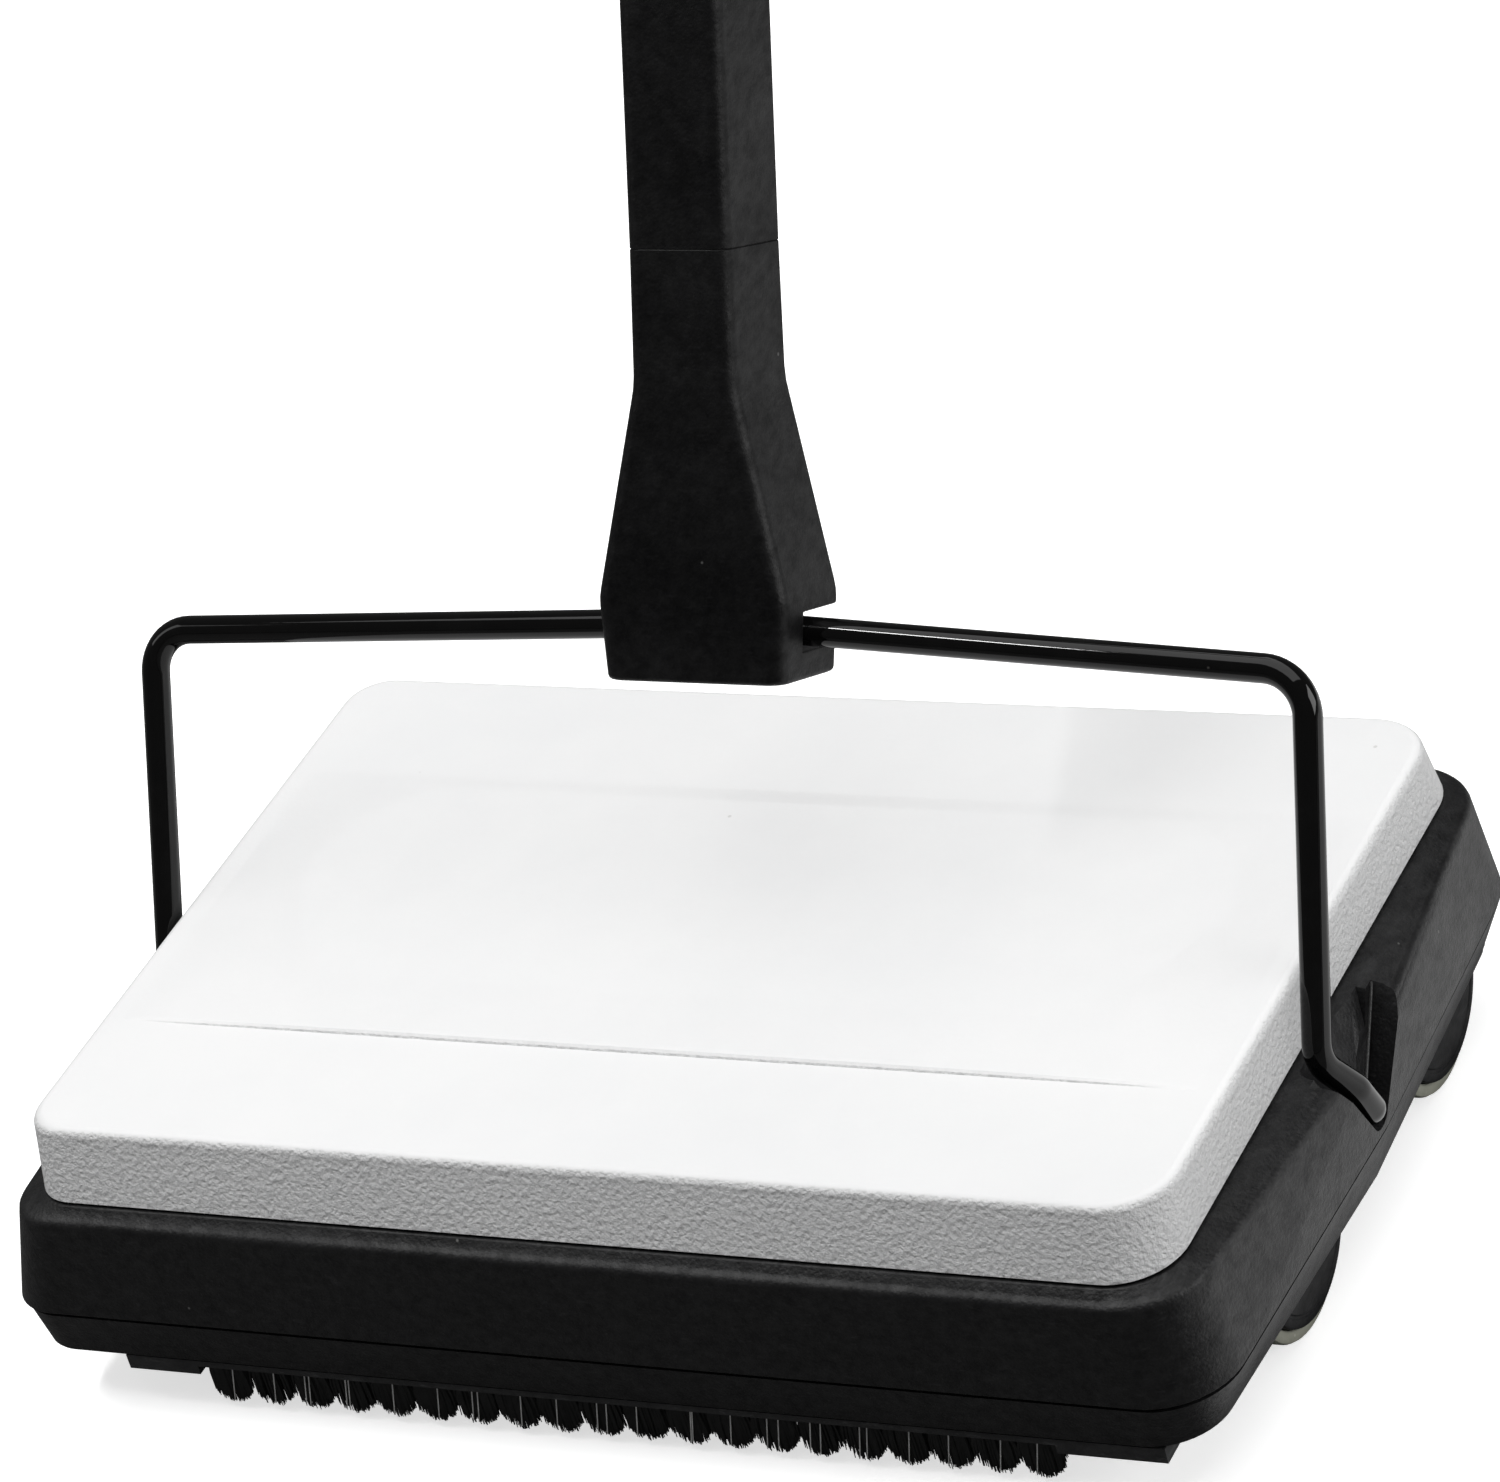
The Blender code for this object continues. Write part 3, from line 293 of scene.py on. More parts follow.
def rubber(name, colour, dusty, rough=0.78, grain=0.7 * MM, depth=0.06 * MM):
    """Matt rubber with fine grain and dust rubbed into it."""
    made, tree, shader = new_material(name)
    point = object_point(tree)
    smear = fractal(tree, point, 90, 6.0, 0.65)
    base = blend_colour(tree, remap(tree, smear, 0.4, 0.68, 0.0, 1.0), colour, dusty)
    specks = product(tree, speckle(tree, point, 260, 0.12), 0.4)
    base = blend_colour(tree, specks, base, [min(1.0, c * 1.8 + 0.03) for c in dusty])
    tree.links.new(base, shader.inputs["Base Color"])
    tree.links.new(remap(tree, smear, 0.3, 0.7, rough - 0.08, rough + 0.08), shader.inputs["Roughness"])
    tree.links.new(bump(tree, pebbles(tree, point, grain), depth), shader.inputs["Normal"])
    shader.inputs["Specular IOR Level"].default_value = 0.25
    return made


def zinc():
    """Plated steel, clouded and finely scratched."""
    made, tree, shader = new_material("zinc_plated_steel")
    point = object_point(tree)
    cloud = fractal(tree, point, 260, 5.0, 0.6)
    scratch = fractal(tree, object_point(tree, (1, 9, 9)), 420, 3.0, 0.5)
    base = blend_colour(tree, remap(tree, cloud, 0.4, 0.65, 0.0, 1.0), (0.56, 0.57, 0.58), (0.40, 0.41, 0.43))
    tree.links.new(base, shader.inputs["Base Color"])
    tree.links.new(remap(tree, scratch, 0.3, 0.7, 0.24, 0.45), shader.inputs["Roughness"])
    tree.links.new(bump(tree, scratch, 0.02 * MM, 0.6), shader.inputs["Normal"])
    shader.inputs["Metallic"].default_value = 1.0
    return made


def filament(name, colour, light, rough=0.28):
    """Nylon bristle, a little lighter here and there along its length, in streaks that are painted
    highlights.
    """
    made, tree, shader = new_material(name)
    # Fine streaks along the strands lift the colour towards the lighter one: painted highlight standing for
    # glints on the bristles.
    across = fractal(tree, object_point(tree, (1, 1, 0.04)), 1500, 1.0, 0.4)
    along = fractal(tree, object_point(tree), 300, 3.0, 0.6)
    share = product(tree, remap(tree, along, 0.4, 0.65, 0.0, 0.6),
                    remap(tree, across, 0.4, 0.6, 0.0, 0.4), "ADD")
    tree.links.new(blend_colour(tree, share, colour, light), shader.inputs["Base Color"])
    tree.links.new(remap(tree, along, 0.3, 0.7, rough, rough + 0.22), shader.inputs["Roughness"])
    tree.links.new(bump(tree, along, 0.03 * MM, 0.5), shader.inputs["Normal"])
    return made


HOUSING_PLASTIC = plastic("housing_black_plastic", (0.004, 0.004, 0.0043), (0.0072, 0.0072, 0.0076),
                          0.46, 0.8 * MM, 0.10 * MM, specular=0.28)
HANDLE_PLASTIC = plastic("handle_black_plastic", (0.0012, 0.0012, 0.0014), (0.0026, 0.0026, 0.0028),
                         0.44, 0.7 * MM, 0.05 * MM, specular=0.2, dust=0.25)
HUB_PLASTIC = plastic("hub_black_plastic", (0.004, 0.004, 0.0045), (0.007, 0.007, 0.0075),
                      0.55, 0.6 * MM, 0.02 * MM, specular=0.12)
PAN_PLASTIC = plastic("pan_black_plastic", (0.014, 0.014, 0.015), (0.022, 0.022, 0.023),
                      0.5, 0.8 * MM, 0.04 * MM, specular=0.3, dust=0.8)
# Lighter, shinier plastic for the bead at the pocket's edge: painted highlight on that edge.
RIM_HIGHLIGHT_PLASTIC = plastic("rim_highlight_plastic", (0.03, 0.03, 0.03), (0.06, 0.06, 0.06),
                      0.34, 0.7 * MM, 0.05 * MM, specular=0.5)
RAIL_PLASTIC = plastic("rail_black_plastic", (0.02, 0.02, 0.021), (0.034, 0.034, 0.035),
                       0.5, 0.6 * MM, 0.03 * MM, specular=0.3)
GREY_PLASTIC = plastic("grey_plastic", (0.05, 0.05, 0.054), (0.075, 0.075, 0.078),
                       0.5, 0.7 * MM, 0.03 * MM)
BUSH_PLASTIC = plastic("bush_cream_plastic", (0.62, 0.60, 0.54), (0.55, 0.53, 0.47),
                       0.45, 0.7 * MM, 0.02 * MM, tint=(0.2, 0.18, 0.15))
LID_PLASTIC = lid_plastic()
WIRE_PAINT = gloss_paint()
TYRE_RUBBER = rubber("tyre_olive_rubber", (0.24, 0.245, 0.20), (0.31, 0.31, 0.26))
DRIVE_RUBBER = rubber("drive_black_rubber", (0.02, 0.02, 0.02), (0.05, 0.048, 0.045))
GRIP_RUBBER = rubber("grip_black_rubber", (0.014, 0.014, 0.0145), (0.026, 0.026, 0.027),
                     0.7, 0.9 * MM, 0.08 * MM)
STEEL = zinc()
# The black bristle's lighter streaks are a faint painted highlight.
BRISTLE = filament("black_nylon_bristle", (0.0015, 0.0015, 0.0015), (0.006, 0.006, 0.006), 0.5)
# Pale strands that stand for the bright glints down each edge tuft: painted highlight.
GLINT_BRISTLE = filament("painted_glint_bristle", (0.62, 0.62, 0.61), (0.85, 0.85, 0.84))


# ---------------------------------------------------------------- mesh helpers

def new_object(name, mesh, paint=None):
    thing = bpy.data.objects.new(name, mesh)
    bpy.context.scene.collection.objects.link(thing)
    if paint:
        mesh.materials.append(paint)
    return thing


def finish_mesh(bm, name, paint=None, smooth=True, sharp=32):
    bmesh.ops.recalc_face_normals(bm, faces=bm.faces)
    mesh = bpy.data.meshes.new(name)
    bm.to_mesh(mesh)
    bm.free()
    if smooth:
        mesh.shade_smooth()
        mesh.set_sharp_from_angle(angle=radians(sharp))
    return new_object(name, mesh, paint)


def arc(centre, start, end, radius, steps):
    first, last = start.normalized(), end.normalized()
    return [centre + first.slerp(last, step / steps) * radius for step in range(steps + 1)]


def fillet(before, here, after, radius, steps):
    """Points on the arc that rounds one corner of a path."""
    here = Vector(here)
    back, on = (Vector(before) - here).normalized(), (Vector(after) - here).normalized()
    half = back.angle(on) / 2
    centre = here + (back + on).normalized() * radius / sin(half)
    start = here + back * radius / tan(half) - centre
    end = here + on * radius / tan(half) - centre
    return arc(centre, start, end, radius, steps)


def rounded(corners, radii, steps):
    count = len(corners)
    points = []
    for i, radius in enumerate(radii):
        points += fillet(corners[i - 1], corners[i], corners[(i + 1) % count], radius, steps)
    return points


def box_outline(half_x, half_y, radius, steps=8):
    corners = [(-half_x, -half_y), (half_x, -half_y), (half_x, half_y), (-half_x, half_y)]
    return rounded(corners, [radius] * 4, steps)


def head_outline(level, inset=0.0, steps=12):
    """Plan of the head: soft corners, and sides that swell to a crease at mid side."""
    corner_x, mid_x, half_y, radius, _, left_x = level
    corner_x, mid_x, half_y, left_x = (size - inset for size in (corner_x, mid_x, half_y, left_x))
    left_mid = max(mid_x, left_x + 1.0 * MM)
    corners = [(-left_x, -half_y), (corner_x, -half_y), (mid_x, 0.0),
               (corner_x, half_y), (-left_x, half_y), (-left_mid, 0.0)]
    soft = radius - inset * 0.6
    tight = soft * LEFT_TIGHT
    return rounded(corners, [tight, soft, 12 * MM, soft, tight, 12 * MM], steps)


def lid_plan(half_x, half_y, radius, inset=0.0, steps=12):
    half_x, half_y = half_x - inset, half_y - inset
    left_x = half_x + LID_LEFT
    corners = [(-left_x, -half_y), (half_x, -half_y), (half_x + 0.05 * MM, 0.0),
               (half_x, half_y), (-left_x, half_y), (-left_x - 0.05 * MM, 0.0)]
    soft = radius - inset * 0.8
    tight = soft * LEFT_TIGHT
    return rounded(corners, [tight, soft, 12 * MM, soft, tight, 12 * MM], steps)


def skin(name, rings, paint=None, smooth=True, sharp=32):
    """Closed skin through rings of 3-D points with equal counts."""
    bm = bmesh.new()
    loops = [[bm.verts.new(point) for point in ring] for ring in rings]
    for low, high in zip(loops, loops[1:]):
        for i in range(len(low)):
            j = (i + 1) % len(low)
            bm.faces.new((low[i], low[j], high[j], high[i]))
    bm.faces.new(reversed(loops[0]))
    bm.faces.new(loops[-1])
    return finish_mesh(bm, name, paint, smooth, sharp)


def loft(name, levels, paint=None, smooth=True, sharp=32):
    """Skin through flat outlines, each paired with its height."""
    rings = [[(p[0], p[1], height) for p in outline] for outline, height in levels]
    return skin(name, rings, paint, smooth, sharp)


def block(name, low, high):
    bm = bmesh.new()
    bmesh.ops.create_cube(bm, size=1.0)
    bmesh.ops.scale(bm, vec=Vector(high) - Vector(low), verts=bm.verts)
    bmesh.ops.translate(bm, vec=(Vector(high) + Vector(low)) / 2, verts=bm.verts)
    return finish_mesh(bm, name, smooth=False)


def rod(name, radius, start, end, paint=None, sides=40):
    start, end = Vector(start), Vector(end)
    along = end - start
    bm = bmesh.new()
    bmesh.ops.create_cone(bm, cap_ends=True, segments=sides, radius1=radius, radius2=radius,
                          depth=along.length)
    turn = along.to_track_quat("Z", "Y").to_matrix().to_4x4()
    bmesh.ops.transform(bm, matrix=Matrix.Translation((start + end) / 2) @ turn, verts=bm.verts)
    return finish_mesh(bm, name, paint)


def hull(name, points):
    bm = bmesh.new()
    for point in points:
        bm.verts.new(point)
    made = bmesh.ops.convex_hull(bm, input=bm.verts)
    loose = {v for v in made["geom_interior"] + made["geom_unused"] if isinstance(v, bmesh.types.BMVert)}
    bmesh.ops.delete(bm, geom=list(loose), context="VERTS")
    return finish_mesh(bm, name, smooth=False)


def turned(name, profile, paint, closed=False, steps=72, sharp=32):
    """Shape of revolution about Z from (radius, height) points."""
    bm = bmesh.new()
    loops = []
    for step in range(steps):
        a = step * 2 * pi / steps
        loops.append([bm.verts.new((r * cos(a), r * sin(a), h)) for r, h in profile])
    count = len(profile)
    for step in range(steps):
        here, there = loops[step], loops[(step + 1) % steps]
        for i in range(count if closed else count - 1):
            j = (i + 1) % count
            bm.faces.new((here[i], there[i], there[j], here[j]))
    bmesh.ops.remove_doubles(bm, verts=bm.verts, dist=0.01 * MM)
    return finish_mesh(bm, name, paint, sharp=sharp)


def carve(target, tools, operation="DIFFERENCE", sharp=32):
    """Applies the tools to the target one after the other, and removes them."""
    for tool in tools:
        modifier = target.modifiers.new("cut", "BOOLEAN")
        modifier.operation = operation
        modifier.solver = "EXACT"
        modifier.object = tool
        bpy.context.view_layer.update()
        graph = bpy.context.evaluated_depsgraph_get()
        made = bpy.data.meshes.new_from_object(target.evaluated_get(graph))
        target.modifiers.clear()
        target.data = made
        bpy.data.objects.remove(tool, do_unlink=True)
    target.data.shade_smooth()
    target.data.set_sharp_from_angle(angle=radians(sharp))
    return target


def soften(thing, width, segments=2, angle=35, where=None):
    """Rounds the sharp edges, or only those whose middle passes the test."""
    bm = bmesh.new()
    bm.from_mesh(thing.data)
    edges = [e for e in bm.edges if len(e.link_faces) == 2 and e.calc_face_angle(0) > radians(angle)]
    if where:
        edges = [e for e in edges if where((e.verts[0].co + e.verts[1].co) / 2)]
    bmesh.ops.bevel(bm, geom=edges, offset=width, segments=segments, profile=0.5,
                    affect="EDGES", clamp_overlap=True)
    bm.to_mesh(thing.data)
    bm.free()
    thing.data.shade_smooth()
    thing.data.set_sharp_from_angle(angle=radians(48))
    return thing


def even_normals(thing):
    modifier = thing.modifiers.new("even_normals", "WEIGHTED_NORMAL")
    modifier.keep_sharp = True
    return thing


def put(thing, matrix, body, *nodes):
    """Sets the piece in the frame, lets it ride its body and stand for its CAD nodes."""
    thing.data.transform(matrix)
    thing.visible_shadow = body != "handle_assembly"
    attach(thing, body)
    if nodes:
        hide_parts(*nodes)
    return thing


def tube(name, points, radius, paint, sides=6):
    """Round wire along the points, as a mesh."""
    curve = bpy.data.curves.new(name, "CURVE")
    curve.dimensions = "3D"
    curve.bevel_depth = radius
    curve.bevel_resolution = sides
    curve.use_fill_caps = True
    spline = curve.splines.new("POLY")
    spline.points.add(len(points) - 1)
    for knot, point in zip(spline.points, points):
        knot.co = (*point, 1.0)
    guide = new_object(name + "_guide", curve)
    bpy.context.view_layer.update()
    graph = bpy.context.evaluated_depsgraph_get()
    mesh = bpy.data.meshes.new_from_object(guide.evaluated_get(graph))
    bpy.data.objects.remove(guide, do_unlink=True)
    mesh.materials.clear()
    mesh.shade_smooth()
    mesh.set_sharp_from_angle(angle=radians(50))
    return new_object(name, mesh, paint)


def bend(points, radii, steps=12):
    path = [Vector(points[0])]
    for i, radius in enumerate(radii, 1):
        path += fillet(points[i - 1], points[i], points[i + 1], radius, steps)
    path.append(Vector(points[-1]))
    return path


def strand(bm, points, radii):
    """Three-sided tapered bristle through the points."""
    along = (points[-1] - points[0]).normalized()
    side = along.orthogonal().normalized()
    other = along.cross(side)
    loops = []
    for point, radius in zip(points, radii):
        ring = []
        for k in range(3):
            a = k * 2 * pi / 3
            ring.append(bm.verts.new(point + (side * cos(a) + other * sin(a)) * radius))
        loops.append(ring)
    for low, high in zip(loops, loops[1:]):
        for i in range(3):
            j = (i + 1) % 3
            bm.faces.new((low[i], low[j], high[j], high[i]))
    bm.faces.new(reversed(loops[0]))
    bm.faces.new(loops[-1])


# ---------------------------------------------------------------- housing

def on_bail(lean, forward, height):
    return (PIVOT_Y - forward * cos(lean) + height * sin(lean),
            PIVOT_Z + forward * sin(lean) + height * cos(lean))


def bail_pocket(side):
    """Open V in the side wall, in which the foot of the bail swings."""
    radius = 3.9 * MM
    rise = 30 * MM
    top = POCKET_FOOT_Z + rise + 8 * MM
    centres = [(PIVOT_Y, PIVOT_Z),
               (PIVOT_Y + rise * tan(POCKET_FRONT) + radius, top),
               (PIVOT_Y + rise * tan(POCKET_BACK) - radius, top)]
    points = []
    for y, z in centres:
        for step in range(24):
            a = step * pi / 12
            for x in (POCKET_X, FOOT_X + 12 * MM):
                points.append((side * x, y + radius * cos(a), z + radius * sin(a)))
    return hull("pocket_cutter", points)


def knee_sweep(side):
    """Room for the knee of the bail, as hulls that each cover a few degrees of its swing."""
    clear = WIRE_R + 0.35 * MM
    route = [(FOOT_X, 0.45), (LEG_X, 1.0), (LEG_X, 1.6), (LEG_X + 12 * MM, 1.6), (FOOT_X + 8 * MM, 0.45)]
    steps = 8
    leans = [KNEE_LEAN + (BACK_LEAN - KNEE_LEAN) * step / steps for step in range(steps + 1)]
    sweeps = []
    for first, second in zip(leans, leans[1:]):
        points = []
        for lean in (first, second):
            for x, share in route:
                foot = min(share, 1.0)
                height = KNEE_HEIGHT * foot + 22 * MM * (share - foot)
                y, z = on_bail(lean, HANDLE_FORWARD * foot, height)
                points += capsule(side, x, y, z, clear)
        sweeps.append(hull("knee_cutter", points))
    return sweeps


def capsule(side, x, y, z, clear):
    """Points of a half ball that bulges towards the middle of the head."""
    points = []
    for inward, around in ((0.0, 1.0), (0.38, 0.92), (0.71, 0.71), (0.92, 0.38)):
        for k in range(16):
            a = k * pi / 8
            r = clear * around
            points.append((side * (x - clear * inward), y + r * cos(a), z + r * sin(a)))
    return points


def dish(side):
    """Slope by which the ledge runs down into the pocket."""
    top = [(138.4, -19.0, 60.0), (138.4, 15.0, 60.0), (160.0, -19.0, 60.0), (160.0, 15.0, 60.0)]
    low = [(144.5, -4.5, 40.0), (144.5, 2.5, 40.0), (160.0, -4.5, 40.0), (160.0, 2.5, 40.0)]
    return hull("dish_cutter", [(side * x * MM, y * MM, z * MM) for x, y, z in top + low])


def split_quads(thing):
    """Triangles instead of quads, so that every face is flat before anything is cut from it."""
    bm = bmesh.new()
    bm.from_mesh(thing.data)
    bmesh.ops.triangulate(bm, faces=[face for face in bm.faces if len(face.verts) == 4])
    bm.to_mesh(thing.data)
    bm.free()
    return thing


def head_cavity(low_x, high_x):
    """Hollow of the housing between two planes across it."""
    levels = ((BOTTOM, FLANGE_TOP), (STRIP, STRIP[4]), (CREST, DECK_UNDER))
    outlines = [(head_outline(level, SHELL), height) for level, height in levels]
    cavity = split_quads(loft("cavity", outlines, smooth=False))
    bounds = block("bounds", (low_x, -PAST_EDGE, 0), (high_x, PAST_EDGE, 70 * MM))
    return carve(cavity, [bounds], "INTERSECT")


def end_cavity(side):
    """Hollow between a bulkhead and the end wall, kept clear of the boss behind the bail recess."""
    cavity = head_cavity(*sorted((side * (CHAMBER_X + BULKHEAD), side * PAST_SIDE)))
    low, high = sorted((side * BOSS_X, side * (PAST_SIDE + 5 * MM)))
    boss = block("boss", (low, PIVOT_Y - 30 * MM, 26 * MM), (high, PIVOT_Y + 32 * MM, 75 * MM))
    return carve(cavity, [boss])


def bulkhead_holes():
    holes = [(BRUSH_Y, BRUSH_Z, 6.0 * MM)]
    holes += [(BRUSH_Y + s * WHEEL_SPREAD, WHEEL_R, 2.1 * MM + GAP) for s in (-1, 1)]
    holes += [(s * PAN_PIN[0], PAN_PIN[1], 2.0 * MM + GAP) for s in (-1, 1)]
    return holes


def housing_shell():
    crest = CREST[4]
    levels = [(head_outline(BOTTOM, 1.0 * MM), BOTTOM[4]),
              (head_outline(BOTTOM, 0.4 * MM), BOTTOM[4] + 0.2 * MM),
              (head_outline(BOTTOM, 0.1 * MM), BOTTOM[4] + 0.7 * MM),
              (head_outline(BOTTOM), BOTTOM[4] + 1.4 * MM),
              (head_outline(STRIP), STRIP[4] - 0.6 * MM),
              (head_outline(STRIP, 0.8 * MM), STRIP[4] - 0.3 * MM),
              (head_outline(STRIP, 0.9 * MM), STRIP[4] + 0.3 * MM),
              (head_outline(WALL, 0.2 * MM), WALL[4] + 0.1 * MM),
              (head_outline(WALL), WALL[4] + 0.4 * MM),
              (head_outline(CREST), crest - 1.9 * MM),
              (head_outline(CREST, 0.25 * MM), crest - 1.0 * MM),
              (head_outline(CREST, 0.75 * MM), crest - 0.3 * MM),
              (head_outline(CREST, 1.4 * MM), crest + 0.1 * MM),
              (head_outline(CREST, 2.4 * MM), crest + 0.4 * MM),
              (lid_plan(*LID_FOOT, -0.6 * MM), DECK_TOP - 0.3 * MM),
              (lid_plan(*LID_FOOT), DECK_TOP)]
    return split_quads(loft("housing_shell", levels, HOUSING_PLASTIC))


def build_housing():
    shell = housing_shell()
    tools = []
    for side in (-1, 1):
        tools += knee_sweep(side) + [bail_pocket(side), dish(side)]
        tools.append(rod("pin_hole", WIRE_R + GAP, (side * (PIN_END_X - GAP), PIVOT_Y, PIVOT_Z),
                         (side * FOOT_X, PIVOT_Y, PIVOT_Z), sides=28))
    carve(shell, tools)

    def near_pocket(p):
        return abs(p.x) > 138 * MM and abs(p.y) < 36 * MM and p.z > 27 * MM

    soften(shell, 0.45 * MM, 2, 30, near_pocket)
    tools = [head_cavity(-CHAMBER_X, CHAMBER_X), end_cavity(-1), end_cavity(1)]
    mouth = box_outline(CHAMBER_X, CHAMBER_Y, 2 * MM, 6)
    tools.append(loft("mouth", [(mouth, 0.0), (mouth, 30 * MM)], smooth=False))
    for side in (-1, 1):
        low, high = sorted((side * (CHAMBER_X + BULKHEAD), side * (TYRE_FACE + HUB_PROUD + 0.6 * MM)))
        reach = WHEEL_SPREAD + WHEEL_R + 1 * MM
        tools.append(block("bay", (low, BRUSH_Y - reach, 0), (high, BRUSH_Y + reach, 50.2 * MM)))
        for y, z, radius in bulkhead_holes():
            tools.append(rod("hole", radius, (side * (CHAMBER_X - 4 * MM), y, z),
                             (side * (CHAMBER_X + BULKHEAD + 2 * MM), y, z), sides=28))
    carve(shell, tools, sharp=34)
    even_normals(shell)
    put(shell, HEAD, "head", "base_housing")
    for hand, side in (("left", -1), ("right", 1)):
        put(pocket_rim(hand, side), HEAD, "head")


def pocket_rim(hand, side):
    """Bead along the inner edge of the pocket's rear face, in lighter plastic that is a painted highlight
    along that edge.
    """
    path = []
    for step in range(19):
        share = step / 18
        z = POCKET_FOOT_Z + 5 * MM + 20.5 * MM * share
        y = PIVOT_Y + 2.2 * MM + 20.5 * MM * share * tan(POCKET_BACK) * 0.93
        path.append(Vector((side * (POCKET_X + 0.15 * MM), y, z)))
    return tube(f"pocket_rim_{hand}", path, 0.45 * MM, RIM_HIGHLIGHT_PLASTIC, 4)


def build_lid():
    """Lid with its raised middle panel, whose front edge is a crease and rear edge a soft step."""
    levels = [(lid_plan(*LID_FOOT, 0.4 * MM), LID_FOOT_Z), (lid_plan(*LID_FOOT), LID_FOOT_Z + 0.4 * MM)]
    for step in range(9):
        a = step * pi / 16
        levels.append((lid_plan(*LID_TOP, LID_EDGE * (1 - cos(a))), LID_TOP_Z - LID_EDGE * (1 - sin(a))))
    lid = loft("lid_shell", levels, LID_PLASTIC)

    def panel_section(y, rise):
        half = LID_TOP[0] - 3.6 * MM
        outline = [(-half, LID_TOP_Z - 1.2 * MM), (half, LID_TOP_Z - 1.2 * MM)]
        for step in range(33):
            u = cos(pi * step / 32)
            outline.append((half * u, LID_TOP_Z - 0.04 * MM + rise * (1 - abs(u) ** 7)))
        return [(x, y, z) for x, z in outline]

    rings = [panel_section(PANEL_FRONT - 0.5 * MM, -0.1 * MM),
             panel_section(PANEL_FRONT - 0.1 * MM, PANEL_RISE * 0.45),
             panel_section(PANEL_FRONT + 0.5 * MM, PANEL_RISE * 0.85),
             panel_section(PANEL_FRONT + 1.4 * MM, PANEL_RISE),
             panel_section(PANEL_FRONT + 6.0 * MM, PANEL_RISE * 0.72),
             panel_section(PANEL_FRONT + 20.0 * MM, PANEL_RISE * 0.35),
             panel_section(PANEL_BACK - 16.0 * MM, PANEL_RISE * 0.3),
             panel_section(PANEL_BACK - 3.0 * MM, PANEL_RISE * 0.5),
             panel_section(PANEL_BACK, PANEL_RISE * 0.38),
             panel_section(PANEL_BACK + 3.5 * MM, -0.1 * MM)]
    panel = skin("panel", rings, LID_PLASTIC, sharp=60)
    carve(lid, [panel], "UNION", sharp=40)
    bosses = [rod("boss", 4.2 * MM, (x, y, LID_FOOT_Z - 0.1 * MM), (x, y, LID_FOOT_Z + 3 * MM))
              for x, y in lid_screw_places()]
    carve(lid, bosses, "UNION", sharp=14)
    even_normals(lid)
    put(lid, HEAD, "head", "lid_cover")


def lid_screw_places():
    return [(x * 108 * MM, y * 74 * MM) for x in (-1, 1) for y in (-1, 1)]


def cross_screw(name, radius, height, shank, length):
    """Dome-headed screw standing on its point, with a cross recess in its head."""
    profile = [(0, height), (radius * 0.45, height * 0.93), (radius * 0.8, height * 0.62),
               (radius * 0.97, height * 0.2), (radius, 0), (shank, 0), (shank, -length),
               (0, -length - 1.5 * MM)]
    screw = turned(name, profile, STEEL, steps=32)
    arm, width, floor = radius * 0.55, radius * 0.11, height * 0.25
    tools = [block("slot", (-arm, -width, floor), (arm, width, height * 2)),
             block("slot", (-width, -arm, floor), (width, arm, height * 2))]
    return carve(screw, tools, sharp=28)


def build_lid_screws():
    head_top = DECK_UNDER - GAP
    names = ("front_left", "rear_left", "front_right", "rear_right")
    for name, (x, y) in zip(names, lid_screw_places()):
        screw = cross_screw(f"screw_{name}", 3.4 * MM, 2.1 * MM, 1.3 * MM, 12 * MM)
        turn = Matrix.Rotation(pi, 4, "X")
        put(screw, HEAD @ Matrix.Translation((x, y, head_top)) @ turn, "head", f"lid_screw_{name}")


# ---------------------------------------------------------------- running gear

